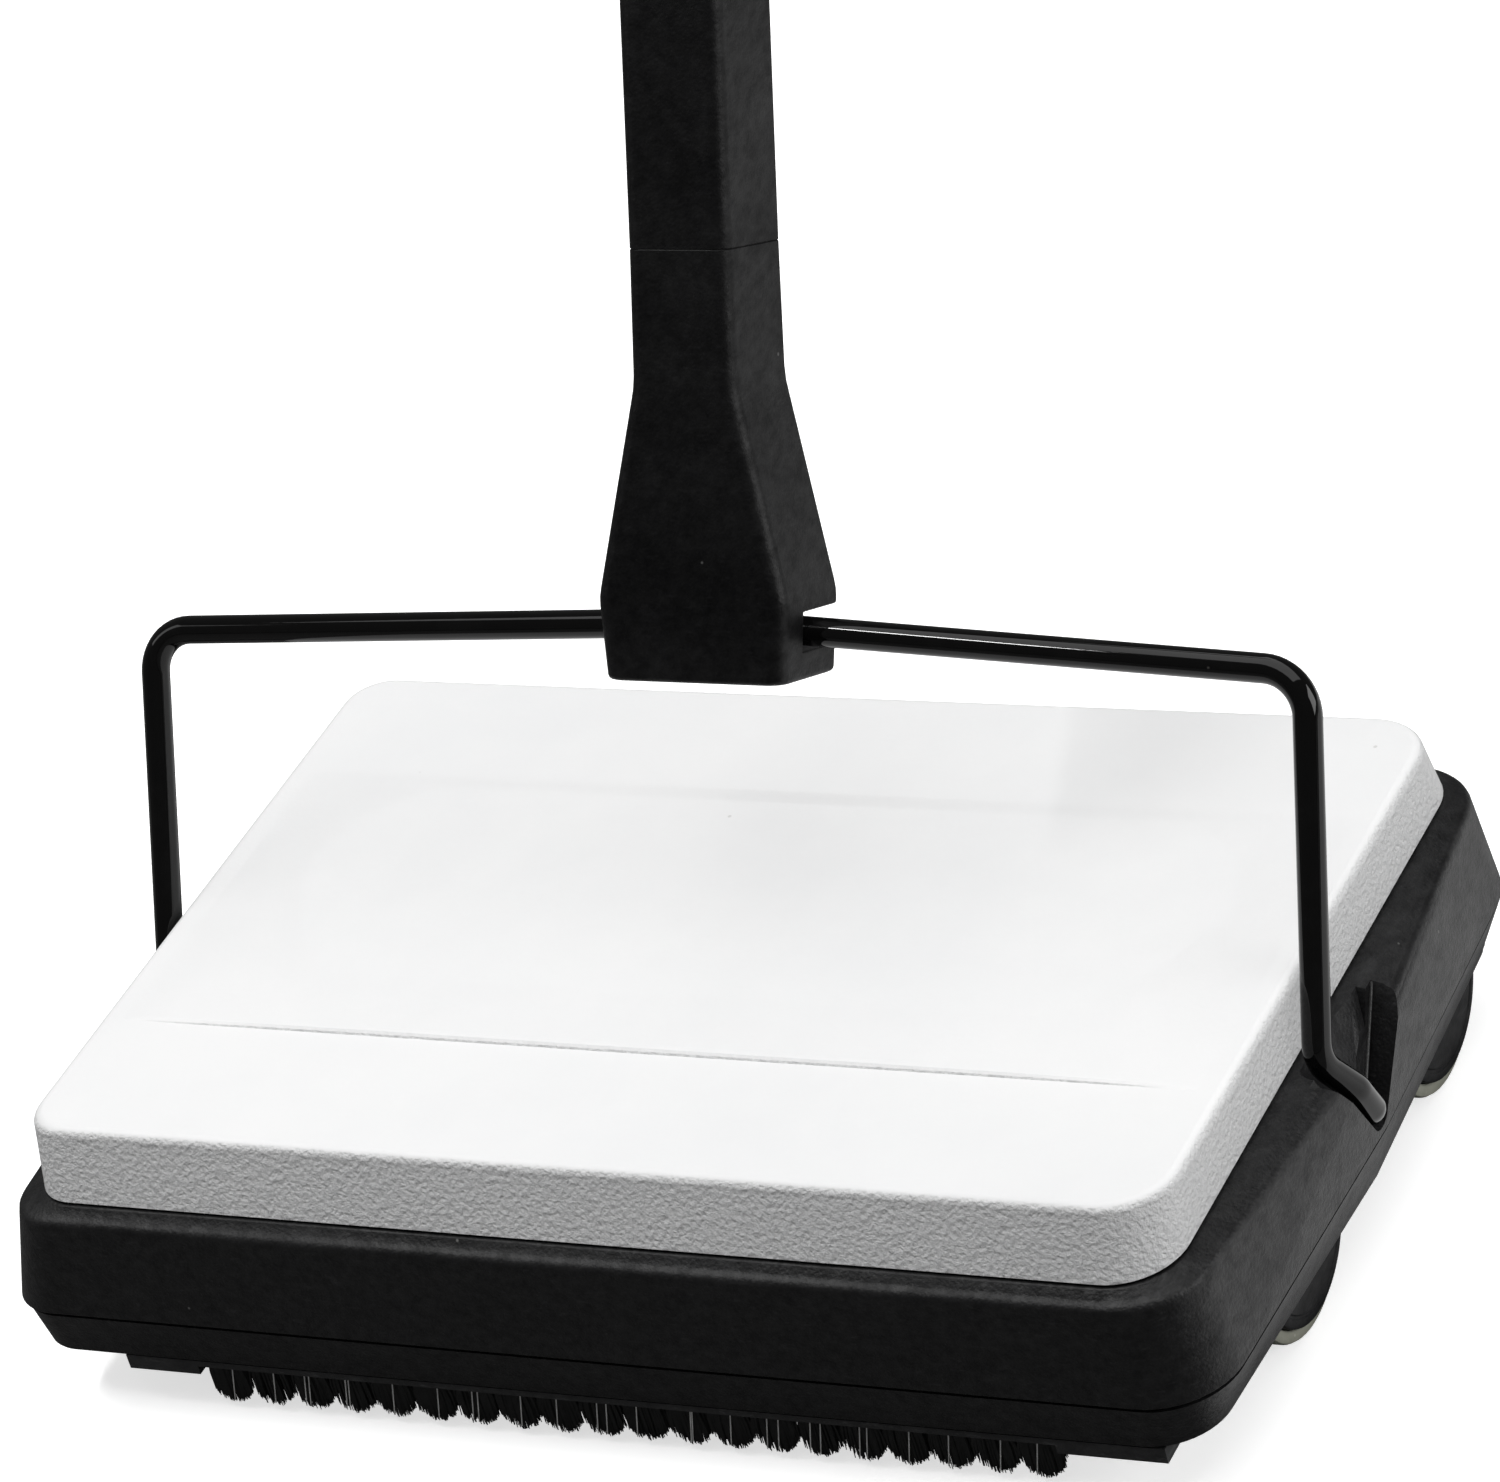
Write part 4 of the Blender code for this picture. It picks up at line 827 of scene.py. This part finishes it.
def build_wheels():
    rim = WHEEL_R - TYRE_WALL
    inner, outer = TYRE_FACE - TYRE_WIDTH, TYRE_FACE + HUB_PROUD
    tyre = [(rim + GAP, TYRE_FACE - 0.3 * MM), (rim + 0.8 * MM, TYRE_FACE), (WHEEL_R - 1.0 * MM, TYRE_FACE),
            (WHEEL_R - 0.35 * MM, TYRE_FACE - 0.3 * MM), (WHEEL_R, TYRE_FACE - 1.0 * MM),
            (WHEEL_R, inner + 1.0 * MM), (WHEEL_R - 0.35 * MM, inner + 0.3 * MM),
            (WHEEL_R - 1.0 * MM, inner), (rim + GAP, inner)]
    hub = [(2.4 * MM, outer - 1.6 * MM), (5.6 * MM, outer - 1.6 * MM), (6.0 * MM, outer - 1.3 * MM),
           (6.5 * MM, outer - 0.2 * MM), (7.0 * MM, outer), (rim - 3.2 * MM, outer),
           (rim - 2.9 * MM, outer - 0.3 * MM), (rim - 2.3 * MM, outer - 0.3 * MM), (rim - 2.0 * MM, outer),
           (rim - 0.8 * MM, outer), (rim - 0.2 * MM, outer - 0.3 * MM), (rim, outer - 0.9 * MM),
           (rim, inner + 0.4 * MM), (rim - 2.2 * MM, inner + 0.4 * MM), (rim - 2.2 * MM, outer - 2.6 * MM),
           (5 * MM, outer - 2.6 * MM), (5 * MM, inner - 1.5 * MM), (2.4 * MM, inner - 1.5 * MM)]
    head = outer - 1.2 * MM
    axle = [(0, head + 1.2 * MM), (2 * MM, head + 1.1 * MM), (3.5 * MM, head + 0.7 * MM), (4.2 * MM, head),
            (2.1 * MM, head), (2.1 * MM, CHAMBER_X - 0.9 * MM), (0, CHAMBER_X - 0.9 * MM)]
    for end, along in (("front", -1), ("rear", 1)):
        for hand, side in (("left", -1), ("right", 1)):
            name = f"{end}_{hand}"
            centre = Matrix.Translation((0, BRUSH_Y + along * WHEEL_SPREAD, WHEEL_R))
            place = HEAD @ centre @ Matrix.Rotation(side * pi / 2, 4, "Y")
            body = f"wheel_{name}"
            put(turned(f"rubber_tyre_{name}", tyre, TYRE_RUBBER, True), place, body, f"tyre_{name}")
            put(turned(f"hub_disc_{name}", hub, HUB_PLASTIC, True), place, body, f"wheel_hub_{name}")
            put(turned(f"axle_pin_{name}", axle, STEEL, steps=36), place, "head", f"wheel_axle_{name}")


def build_brush_roll():
    axis = HEAD @ Matrix.Translation((0, BRUSH_Y, BRUSH_Z)) @ Matrix.Rotation(pi / 2, 4, "Y")
    end = TYRE_FACE
    shaft = [(0, end), (SHAFT_R - 0.6 * MM, end), (SHAFT_R, end - 0.6 * MM), (SHAFT_R, -end + 0.6 * MM),
             (SHAFT_R - 0.6 * MM, -end), (0, -end)]
    put(turned("roll_shaft", shaft, STEEL, steps=32), axis, "brush_roll", "brush_shaft")
    bore, half = SHAFT_R + GAP, BRUSH_HALF + MM
    core = [(bore, half), (CORE_R - 0.8 * MM, half), (CORE_R, half - 0.8 * MM), (CORE_R, -half + 0.8 * MM),
            (CORE_R - 0.8 * MM, -half), (bore, -half)]
    put(turned("roll_core", core, GREY_PLASTIC, True, 48), axis, "brush_roll", "brush_core")
    low, high = TYRE_FACE - TYRE_WIDTH, TYRE_FACE - 1.0 * MM
    for hand, side in (("left", -1), ("right", 1)):
        flip = axis @ Matrix.Rotation(0 if side > 0 else pi, 4, "X")
        ring = [(bore, high), (DRIVE_R - 0.9 * MM, high), (DRIVE_R - 0.25 * MM, high - 0.25 * MM),
                (DRIVE_R, high - 0.9 * MM), (DRIVE_R, low + 0.9 * MM), (DRIVE_R - 0.25 * MM, low + 0.25 * MM),
                (DRIVE_R - 0.9 * MM, low), (bore, low)]
        put(turned(f"friction_ring_{hand}", ring, DRIVE_RUBBER, True), flip, "brush_roll",
            f"drive_ring_{hand}")
        inner, outer = CHAMBER_X - 0.9 * MM, CHAMBER_X + BULKHEAD + 2.4 * MM
        bush = [(bore, outer), (5.7 * MM, outer), (5.7 * MM, CHAMBER_X - GAP), (7.6 * MM, CHAMBER_X - GAP),
                (7.6 * MM, inner - 0.6 * MM), (bore, inner - 0.6 * MM)]
        put(turned(f"bush_{hand}", bush, BUSH_PLASTIC, True, 40), flip, "head", f"brush_bush_{hand}")
    put(roll_bristles(), axis, "brush_roll", "brush_bristles")


def roll_bristles():
    """Four rows of tufts that wind a quarter turn along the roll."""
    rng = random.Random(11)
    bm = bmesh.new()
    tufts, strands = 42, 15
    for row in range(4):
        for i in range(tufts):
            share = (i + 0.5) / tufts
            height = (share * 2 - 1) * (BRUSH_HALF - 3 * MM)
            turn = row * pi / 2 + share * pi / 2
            for _ in range(strands):
                a = turn + rng.gauss(0, 0.05)
                start = Vector((CORE_R * cos(a), CORE_R * sin(a), height + rng.gauss(0, 0.5 * MM)))
                b = turn + rng.gauss(0, 0.075)
                reach = BRUSH_R - rng.random() * 1.3 * MM
                tip = Vector((reach * cos(b), reach * sin(b), height + rng.gauss(0, 1.5 * MM)))
                strand(bm, [start - start.normalized() * 0.5 * MM, start.lerp(tip, 0.55), tip],
                       [0.26 * MM, 0.22 * MM, 0.12 * MM])
    return finish_mesh(bm, "roll_bristle_tufts", BRISTLE, sharp=80)


def build_edge_bristles():
    rng = random.Random(5)
    for name, sign in (("front", -1), ("rear", 1)):
        bm = bmesh.new()
        for i in range(TUFTS):
            centre = sign * TUFT_SHIFT + (i - (TUFTS - 1) / 2) * TUFT_PITCH
            edge_tuft(bm, rng, centre, sign * RAIL_Y, sign)
        tufts = finish_mesh(bm, f"{name}_bristle_tufts", BRISTLE, sharp=80)
        tufts.data.materials.append(GLINT_BRISTLE)
        put(tufts, HEAD, "head", f"{name}_edge_bristles")


def edge_tuft(bm, rng, x, y, sign):
    """Fan of bristles whose outer ones are shorter, so the tuft ends in a soft round."""
    for _ in range(230):
        fan = rng.uniform(-1, 1)
        deep = rng.uniform(-1, 1)
        top = Vector((x + fan * 4.3 * MM, y + deep * 1.3 * MM, RAIL_MIDDLE - 0.1 * MM))
        round_end = 1 - (1 - min(abs(fan), 0.999) ** 2) ** 0.5
        low = TUFT_TIP + 5.2 * MM * round_end + abs(rng.gauss(0, 0.55)) * MM
        tip = Vector((x + fan * 5.0 * MM + rng.gauss(0, 0.3) * MM, y + deep * 1.3 * MM, low))
        middle = top.lerp(tip, 0.5) + Vector((fan * 0.3 * MM, 0, 0))
        strand(bm, [top, middle, tip], [0.24 * MM, 0.22 * MM, 0.12 * MM])
    # One or two pale strands at the front of each tuft, slanted to run upright in the camera's view: painted
    # highlight for the glints down the tuft.
    for _ in range(rng.choice((1, 1, 2))):
        shift = rng.uniform(-1.6, 1.6) * MM
        front = y + sign * 1.75 * MM
        before = len(bm.faces)
        strand(bm, [Vector((x + shift + 1.2 * MM, front, RAIL_MIDDLE - 0.1 * MM)),
                    Vector((x + shift - 1.2 * MM, front, TUFT_TIP + 1.4 * MM))], [0.17 * MM, 0.13 * MM])
        bm.faces.ensure_lookup_table()
        for face in bm.faces[before:]:
            face.material_index = 1


def build_pan_springs():
    for name, sign in (("front", -1), ("rear", 1)):
        y, z = sign * PAN_PIN[0], PAN_PIN[1]
        path = [Vector((PAN_SPRING_X, y - sign * 15 * MM, z - 5.5 * MM))]
        for i in range(3, 3 * 24 + 1):
            a = -pi / 2 + i * 2 * pi / 24
            path.append(Vector((PAN_SPRING_X - i * 1.25 * MM / 24, y + sign * 3.4 * MM * cos(a),
                                z + 3.4 * MM * sin(a))))
        put(tube(f"{name}_torsion_spring", path, 0.5 * MM, STEEL, 4), HEAD, "head", f"{name}_pan_spring")


# ---------------------------------------------------------------- bail and handle

def build_bail():
    forward, top = -HANDLE_FORWARD, HANDLE_RISE + BAIL_TOP
    half = [(PIN_END_X, 0, 0), (FOOT_X, 0, 0), (FOOT_X, 0.5 * forward, 0.5 * KNEE_HEIGHT),
            (LEG_X, forward, KNEE_HEIGHT), (LEG_X, forward, top)]
    route = [(-x, y, z) for x, y, z in half] + [(0, forward, top + BAIL_RISE)] + list(reversed(half))
    radii = [3.4 * MM, 8 * MM, 8 * MM, 10 * MM]
    bail = tube("bail_rod", bend(route, radii + [120 * MM] + radii[::-1]), WIRE_R, WIRE_PAINT, 10)
    put(bail, BAIL, "handle_assembly", "bail_wire")


def build_yoke():
    stations = [(YOKE_FOOT, YOKE_HALF - 2.1 * MM, TUBE_HALF_Y - 0.9 * MM),
                (YOKE_FOOT + 0.2 * MM, YOKE_HALF - 1.6 * MM, TUBE_HALF_Y - 0.4 * MM),
                (YOKE_FOOT + 0.6 * MM, YOKE_HALF - 1.25 * MM, TUBE_HALF_Y - 0.1 * MM),
                (YOKE_FOOT + 1.2 * MM, YOKE_HALF - 1.1 * MM, TUBE_HALF_Y),
                (YOKE_WIDE - 2 * MM, YOKE_HALF - 0.1 * MM, TUBE_HALF_Y + 0.4 * MM),
                (YOKE_WIDE, YOKE_HALF - 0.1 * MM, TUBE_HALF_Y + 0.4 * MM),
                (YOKE_WIDE + 2 * MM, YOKE_HALF - 0.45 * MM, TUBE_HALF_Y + 0.4 * MM),
                (YOKE_NECK - 3 * MM, TUBE_HALF_X + 1.15 * MM, TUBE_HALF_Y + 0.2 * MM),
                (YOKE_NECK, TUBE_HALF_X + 0.5 * MM, TUBE_HALF_Y + 0.2 * MM),
                (YOKE_NECK + 3 * MM, TUBE_HALF_X + 0.25 * MM, TUBE_HALF_Y + 0.15 * MM),
                (SECTION_ENDS[0] - 0.2 * MM, TUBE_HALF_X, TUBE_HALF_Y),
                (SECTION_ENDS[0], TUBE_HALF_X - 0.15 * MM, TUBE_HALF_Y - 0.15 * MM)]
    yoke = loft("yoke_moulding", [(box_outline(hx, hy, TUBE_CORNER), h) for h, hx, hy in stations],
                HANDLE_PLASTIC)
    back = TUBE_HALF_Y + 5 * MM
    half = 13 * MM + GAP
    tools = [block("slot", (-30 * MM, -WIRE_R - 0.6 * MM, SLOT_LOW), (30 * MM, back, SLOT_HIGH)),
             block("seat", (-half, TUBE_HALF_Y - 3 * MM, YOKE_FOOT + 2 * MM), (half, back, 122 * MM + GAP))]
    tools += [rod("pilot", 1.6 * MM, (0, -2 * MM, h), (0, 20 * MM, h), sides=20) for h in YOKE_SCREWS]
    carve(yoke, tools)
    soften(yoke, 0.4 * MM, 2, 40, lambda p: p.z < 125 * MM and p.z > YOKE_FOOT + 3 * MM)
    even_normals(yoke)
    put(yoke, HANDLE, "handle_assembly", "handle_yoke")
    build_back_plate()


def build_back_plate():
    face, seat = TUBE_HALF_Y + 0.2 * MM, TUBE_HALF_Y - 3 * MM + GAP
    low = YOKE_FOOT + 2 * MM + GAP
    middle = low + 16.6 * MM
    levels = [(box_outline(13 * MM, 16.6 * MM, 2 * MM), seat),
              (box_outline(13 * MM, 16.6 * MM, 2 * MM), face - 0.6 * MM),
              (box_outline(12.8 * MM, 16.4 * MM, 1.8 * MM), face - 0.2 * MM),
              (box_outline(12.4 * MM, 16.0 * MM, 1.4 * MM), face)]
    plate = loft("back_plate", levels, HANDLE_PLASTIC)
    pad_y = middle - (SLOT_LOW + SLOT_HIGH) / 2
    carve(plate, [block("pad", (-9 * MM, pad_y - 3.6 * MM, WIRE_R + 0.5 * MM),
                        (9 * MM, pad_y + 3.6 * MM, seat + MM))], "UNION")
    carve(plate, [rod("hole", 1.8 * MM, (0, middle - h, 5 * MM), (0, middle - h, 20 * MM), sides=24)
                  for h in YOKE_SCREWS])
    lying = HANDLE @ Matrix.Translation((0, 0, middle)) @ Matrix.Rotation(-pi / 2, 4, "X")
    put(plate, lying, "handle_assembly", "yoke_back_plate")
    for name, height in zip(("lower", "upper"), YOKE_SCREWS):
        screw = cross_screw(f"plate_screw_{name}", 3.2 * MM, 1.5 * MM, 1.3 * MM, 12 * MM)
        place = HANDLE @ Matrix.Translation((0, face + GAP, height)) @ Matrix.Rotation(-pi / 2, 4, "X")
        put(screw, place, "handle_assembly", f"yoke_screw_{name}")


def build_tubes():
    names = ("lower", "middle", "upper")
    for name, start, end in zip(names, SECTION_ENDS, SECTION_ENDS[1:]):
        levels = []
        for height, inset in ((start + 0.1 * MM, 0.15 * MM), (start + 0.3 * MM, 0),
                              (end - 0.2 * MM, 0), (end, 0.15 * MM)):
            levels.append((box_outline(TUBE_HALF_X - inset, TUBE_HALF_Y - inset, TUBE_CORNER), height))
        section = loft(f"tube_{name}", levels, HANDLE_PLASTIC)
        bore = box_outline(TUBE_HALF_X - TUBE_WALL, TUBE_HALF_Y - TUBE_WALL, 2 * MM)
        carve(section, [loft("bore", [(bore, start - 5 * MM), (bore, end + 5 * MM)], smooth=False)])
        even_normals(section)
        put(section, HANDLE, "handle_assembly", f"handle_tube_{name}")


def build_grip():
    """Ribbed sleeve and the end cap with its hanging hole."""
    def ring(grow, height):
        return box_outline(TUBE_HALF_X + grow * MM, TUBE_HALF_Y + grow * MM, TUBE_CORNER + grow * MM), height

    levels = [ring(1.2, GRIP_START), ring(2.0, GRIP_START + 0.5 * MM), ring(2.6, GRIP_START + 2 * MM)]
    ribs = 5
    pitch = (GRIP_END - GRIP_START - 16 * MM) / ribs
    for i in range(ribs):
        z = GRIP_START + 8 * MM + i * pitch
        levels += [ring(2.6, z - 0.4 * MM), ring(2.4, z + 0.3 * MM), ring(1.95, z + 1.1 * MM),
                   ring(1.9, z + 2.2 * MM), ring(1.95, z + 3.9 * MM), ring(2.4, z + 4.8 * MM),
                   ring(2.6, z + 5.6 * MM)]
    levels += [ring(2.6, GRIP_END - 2 * MM), ring(2.0, GRIP_END - 0.5 * MM), ring(1.2, GRIP_END)]
    grip = loft("ribbed_grip", levels, GRIP_RUBBER)
    bore = box_outline(TUBE_HALF_X + GAP, TUBE_HALF_Y + GAP, TUBE_CORNER + GAP)
    carve(grip, [loft("bore", [(bore, GRIP_START - 5 * MM), (bore, GRIP_END + 5 * MM)], smooth=False)])
    put(grip, HANDLE, "handle_assembly", "handle_grip")
    end = SECTION_ENDS[-1]
    inner = TUBE_WALL + 2 * GAP
    stations = [(end - 22 * MM, -inner), (end + GAP, -inner), (end + GAP, 0.2 * MM),
                (end + 0.7 * MM, 0.6 * MM),
                (end + 13 * MM, 0.6 * MM), (end + 17 * MM, 0.1 * MM), (end + 20 * MM, -0.8 * MM),
                (end + 23 * MM, -2.2 * MM), (end + 25.2 * MM, -3.8 * MM), (end + 26 * MM, -5.0 * MM)]
    levels = []
    for height, grow in stations:
        corner = max(TUBE_CORNER + grow, 1.5 * MM)
        levels.append((box_outline(TUBE_HALF_X + grow, TUBE_HALF_Y + grow, corner), height))
    cap = loft("hanging_cap", levels, HANDLE_PLASTIC)
    carve(cap, [rod("hole", 4.5 * MM, (-30 * MM, 0, end + 12 * MM), (30 * MM, 0, end + 12 * MM))])
    soften(cap, 0.5 * MM, 2, 50, lambda p: p.z > end + 5 * MM)
    put(cap, HANDLE, "handle_assembly", "handle_end_cap")


# ---------------------------------------------------------------- carried-over pieces

def dress(node, paint, width=0.0):
    """Gives a CAD node its material, and rounds its edges."""
    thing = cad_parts[node]
    thing.data.materials.clear()
    thing.data.materials.append(paint)
    if width:
        modifier = thing.modifiers.new("soft_edges", "BEVEL")
        modifier.width = width
        modifier.segments = 2
        modifier.limit_method = "ANGLE"
        modifier.angle_limit = radians(40)


def dress_nodes():
    for end in ("front", "rear"):
        dress(f"{end}_dust_pan", PAN_PLASTIC, 0.4 * MM)
        dress(f"{end}_bristle_rail", RAIL_PLASTIC, 0.35 * MM)
        for hand in ("left", "right"):
            dress(f"{end}_pan_pin_{hand}", STEEL, 0.2 * MM)
    for level in ("lower", "middle", "upper"):
        dress(f"handle_coupling_{level}", GREY_PLASTIC, 0.3 * MM)


# ---------------------------------------------------------------- studio

def camera_only(tree, seen, unseen):
    """Mixes two shaders by whether the camera sees them directly."""
    path = add(tree, "ShaderNodeLightPath")
    mix = add(tree, "ShaderNodeMixShader", {0: path.outputs["Is Camera Ray"]})
    tree.links.new(unseen.outputs[0], mix.inputs[1])
    tree.links.new(seen.outputs[0], mix.inputs[2])
    return mix


def build_floor():
    bm = bmesh.new()
    bmesh.ops.create_grid(bm, x_segments=1, y_segments=1, size=9.0)
    floor = finish_mesh(bm, "studio_floor", smooth=False)
    made = bpy.data.materials.new("pale_floor")
    made.use_nodes = True
    tree = made.node_tree
    tree.nodes.clear()
    pale = add(tree, "ShaderNodeBsdfDiffuse", {"Color": (0.80, 0.80, 0.80, 1)})
    lift = add(tree, "ShaderNodeEmission", {"Strength": 0.66})
    seen = add(tree, "ShaderNodeAddShader", {0: pale.outputs[0], 1: lift.outputs[0]})
    unseen = add(tree, "ShaderNodeBsdfDiffuse", {"Color": (0.16, 0.16, 0.16, 1)})
    out = add(tree, "ShaderNodeOutputMaterial")
    tree.links.new(camera_only(tree, seen, unseen).outputs[0], out.inputs[0])
    floor.data.materials.append(made)


def build_world():
    world = bpy.data.worlds.new("studio")
    bpy.context.scene.world = world
    world.use_nodes = True
    tree = world.node_tree
    tree.nodes.clear()
    seen = add(tree, "ShaderNodeBackground", {0: (1, 1, 1, 1), 1: 1.0})
    unseen = add(tree, "ShaderNodeBackground", {0: (1, 1, 1, 1), 1: 0.11})
    out = add(tree, "ShaderNodeOutputWorld")
    tree.links.new(camera_only(tree, seen, unseen).outputs[0], out.inputs[0])


def softbox(name, place, target, width, height, power):
    light = bpy.data.lights.new(name, "AREA")
    light.shape = "RECTANGLE"
    light.size, light.size_y = width, height
    light.energy = power
    lamp = bpy.data.objects.new(name, light)
    bpy.context.scene.collection.objects.link(lamp)
    lamp.location = place
    lamp.rotation_euler = (Vector(target) - Vector(place)).to_track_quat("-Z", "Y").to_euler()


def build_bounce_card():
    """White card on the floor beside the head, out of the camera's sight."""
    bm = bmesh.new()
    corners = [(0.142, -0.085), (0.75, -0.085), (0.75, 0.62), (0.142, 0.62)]
    bm.faces.new([bm.verts.new((x, HEAD_Y + y, 0.001)) for x, y in corners])
    card = finish_mesh(bm, "bounce_card", smooth=False)
    made, _, shader = new_material("card_white")
    shader.inputs["Base Color"].default_value = (0.05, 0.05, 0.05, 1.0)
    shader.inputs["Emission Color"].default_value = (1.0, 1.0, 1.0, 1.0)
    shader.inputs["Emission Strength"].default_value = 0.95
    card.data.materials.append(made)
    card.visible_camera = False
    card.visible_shadow = False
    card.visible_diffuse = False


def build_lights():
    middle = (0, HEAD_Y, 0.05)
    softbox("overhead", (0.1, HEAD_Y + 0.2, 2.6), middle, 3.2, 3.0, 62)
    softbox("right_side", (2.2, HEAD_Y + 0.3, 0.8), middle, 1.5, 1.2, 28)
    softbox("left_glint", (-1.6, HEAD_Y - 0.6, 1.2), middle, 0.5, 1.0, 3)
    softbox("strip", (-0.86, HEAD_Y - 0.26, 1.84), middle, 1.1, 0.05, 13)


def build_camera():
    """Long lens, in front of the head and to its right, looking down on it."""
    turn = Euler([radians(angle) for angle in CAMERA_TURN]).to_matrix().to_4x4()
    camera = bpy.data.cameras.new("studio_camera")
    camera.sensor_fit = "HORIZONTAL"
    camera.sensor_width = 36.0
    camera.lens = CAMERA_LENS
    camera.clip_end = 30.0
    thing = bpy.data.objects.new("studio_camera", camera)
    bpy.context.scene.collection.objects.link(thing)
    thing.matrix_world = HEAD @ Matrix.Translation(CAMERA_PLACE) @ turn
    bpy.context.scene.camera = thing
    bpy.context.scene.view_settings.view_transform = "Standard"


build_housing()
build_lid()
build_lid_screws()
build_wheels()
build_brush_roll()
build_edge_bristles()
build_pan_springs()
build_bail()
build_yoke()
build_tubes()
build_grip()
dress_nodes()
build_floor()
build_world()
build_bounce_card()
build_lights()
build_camera()
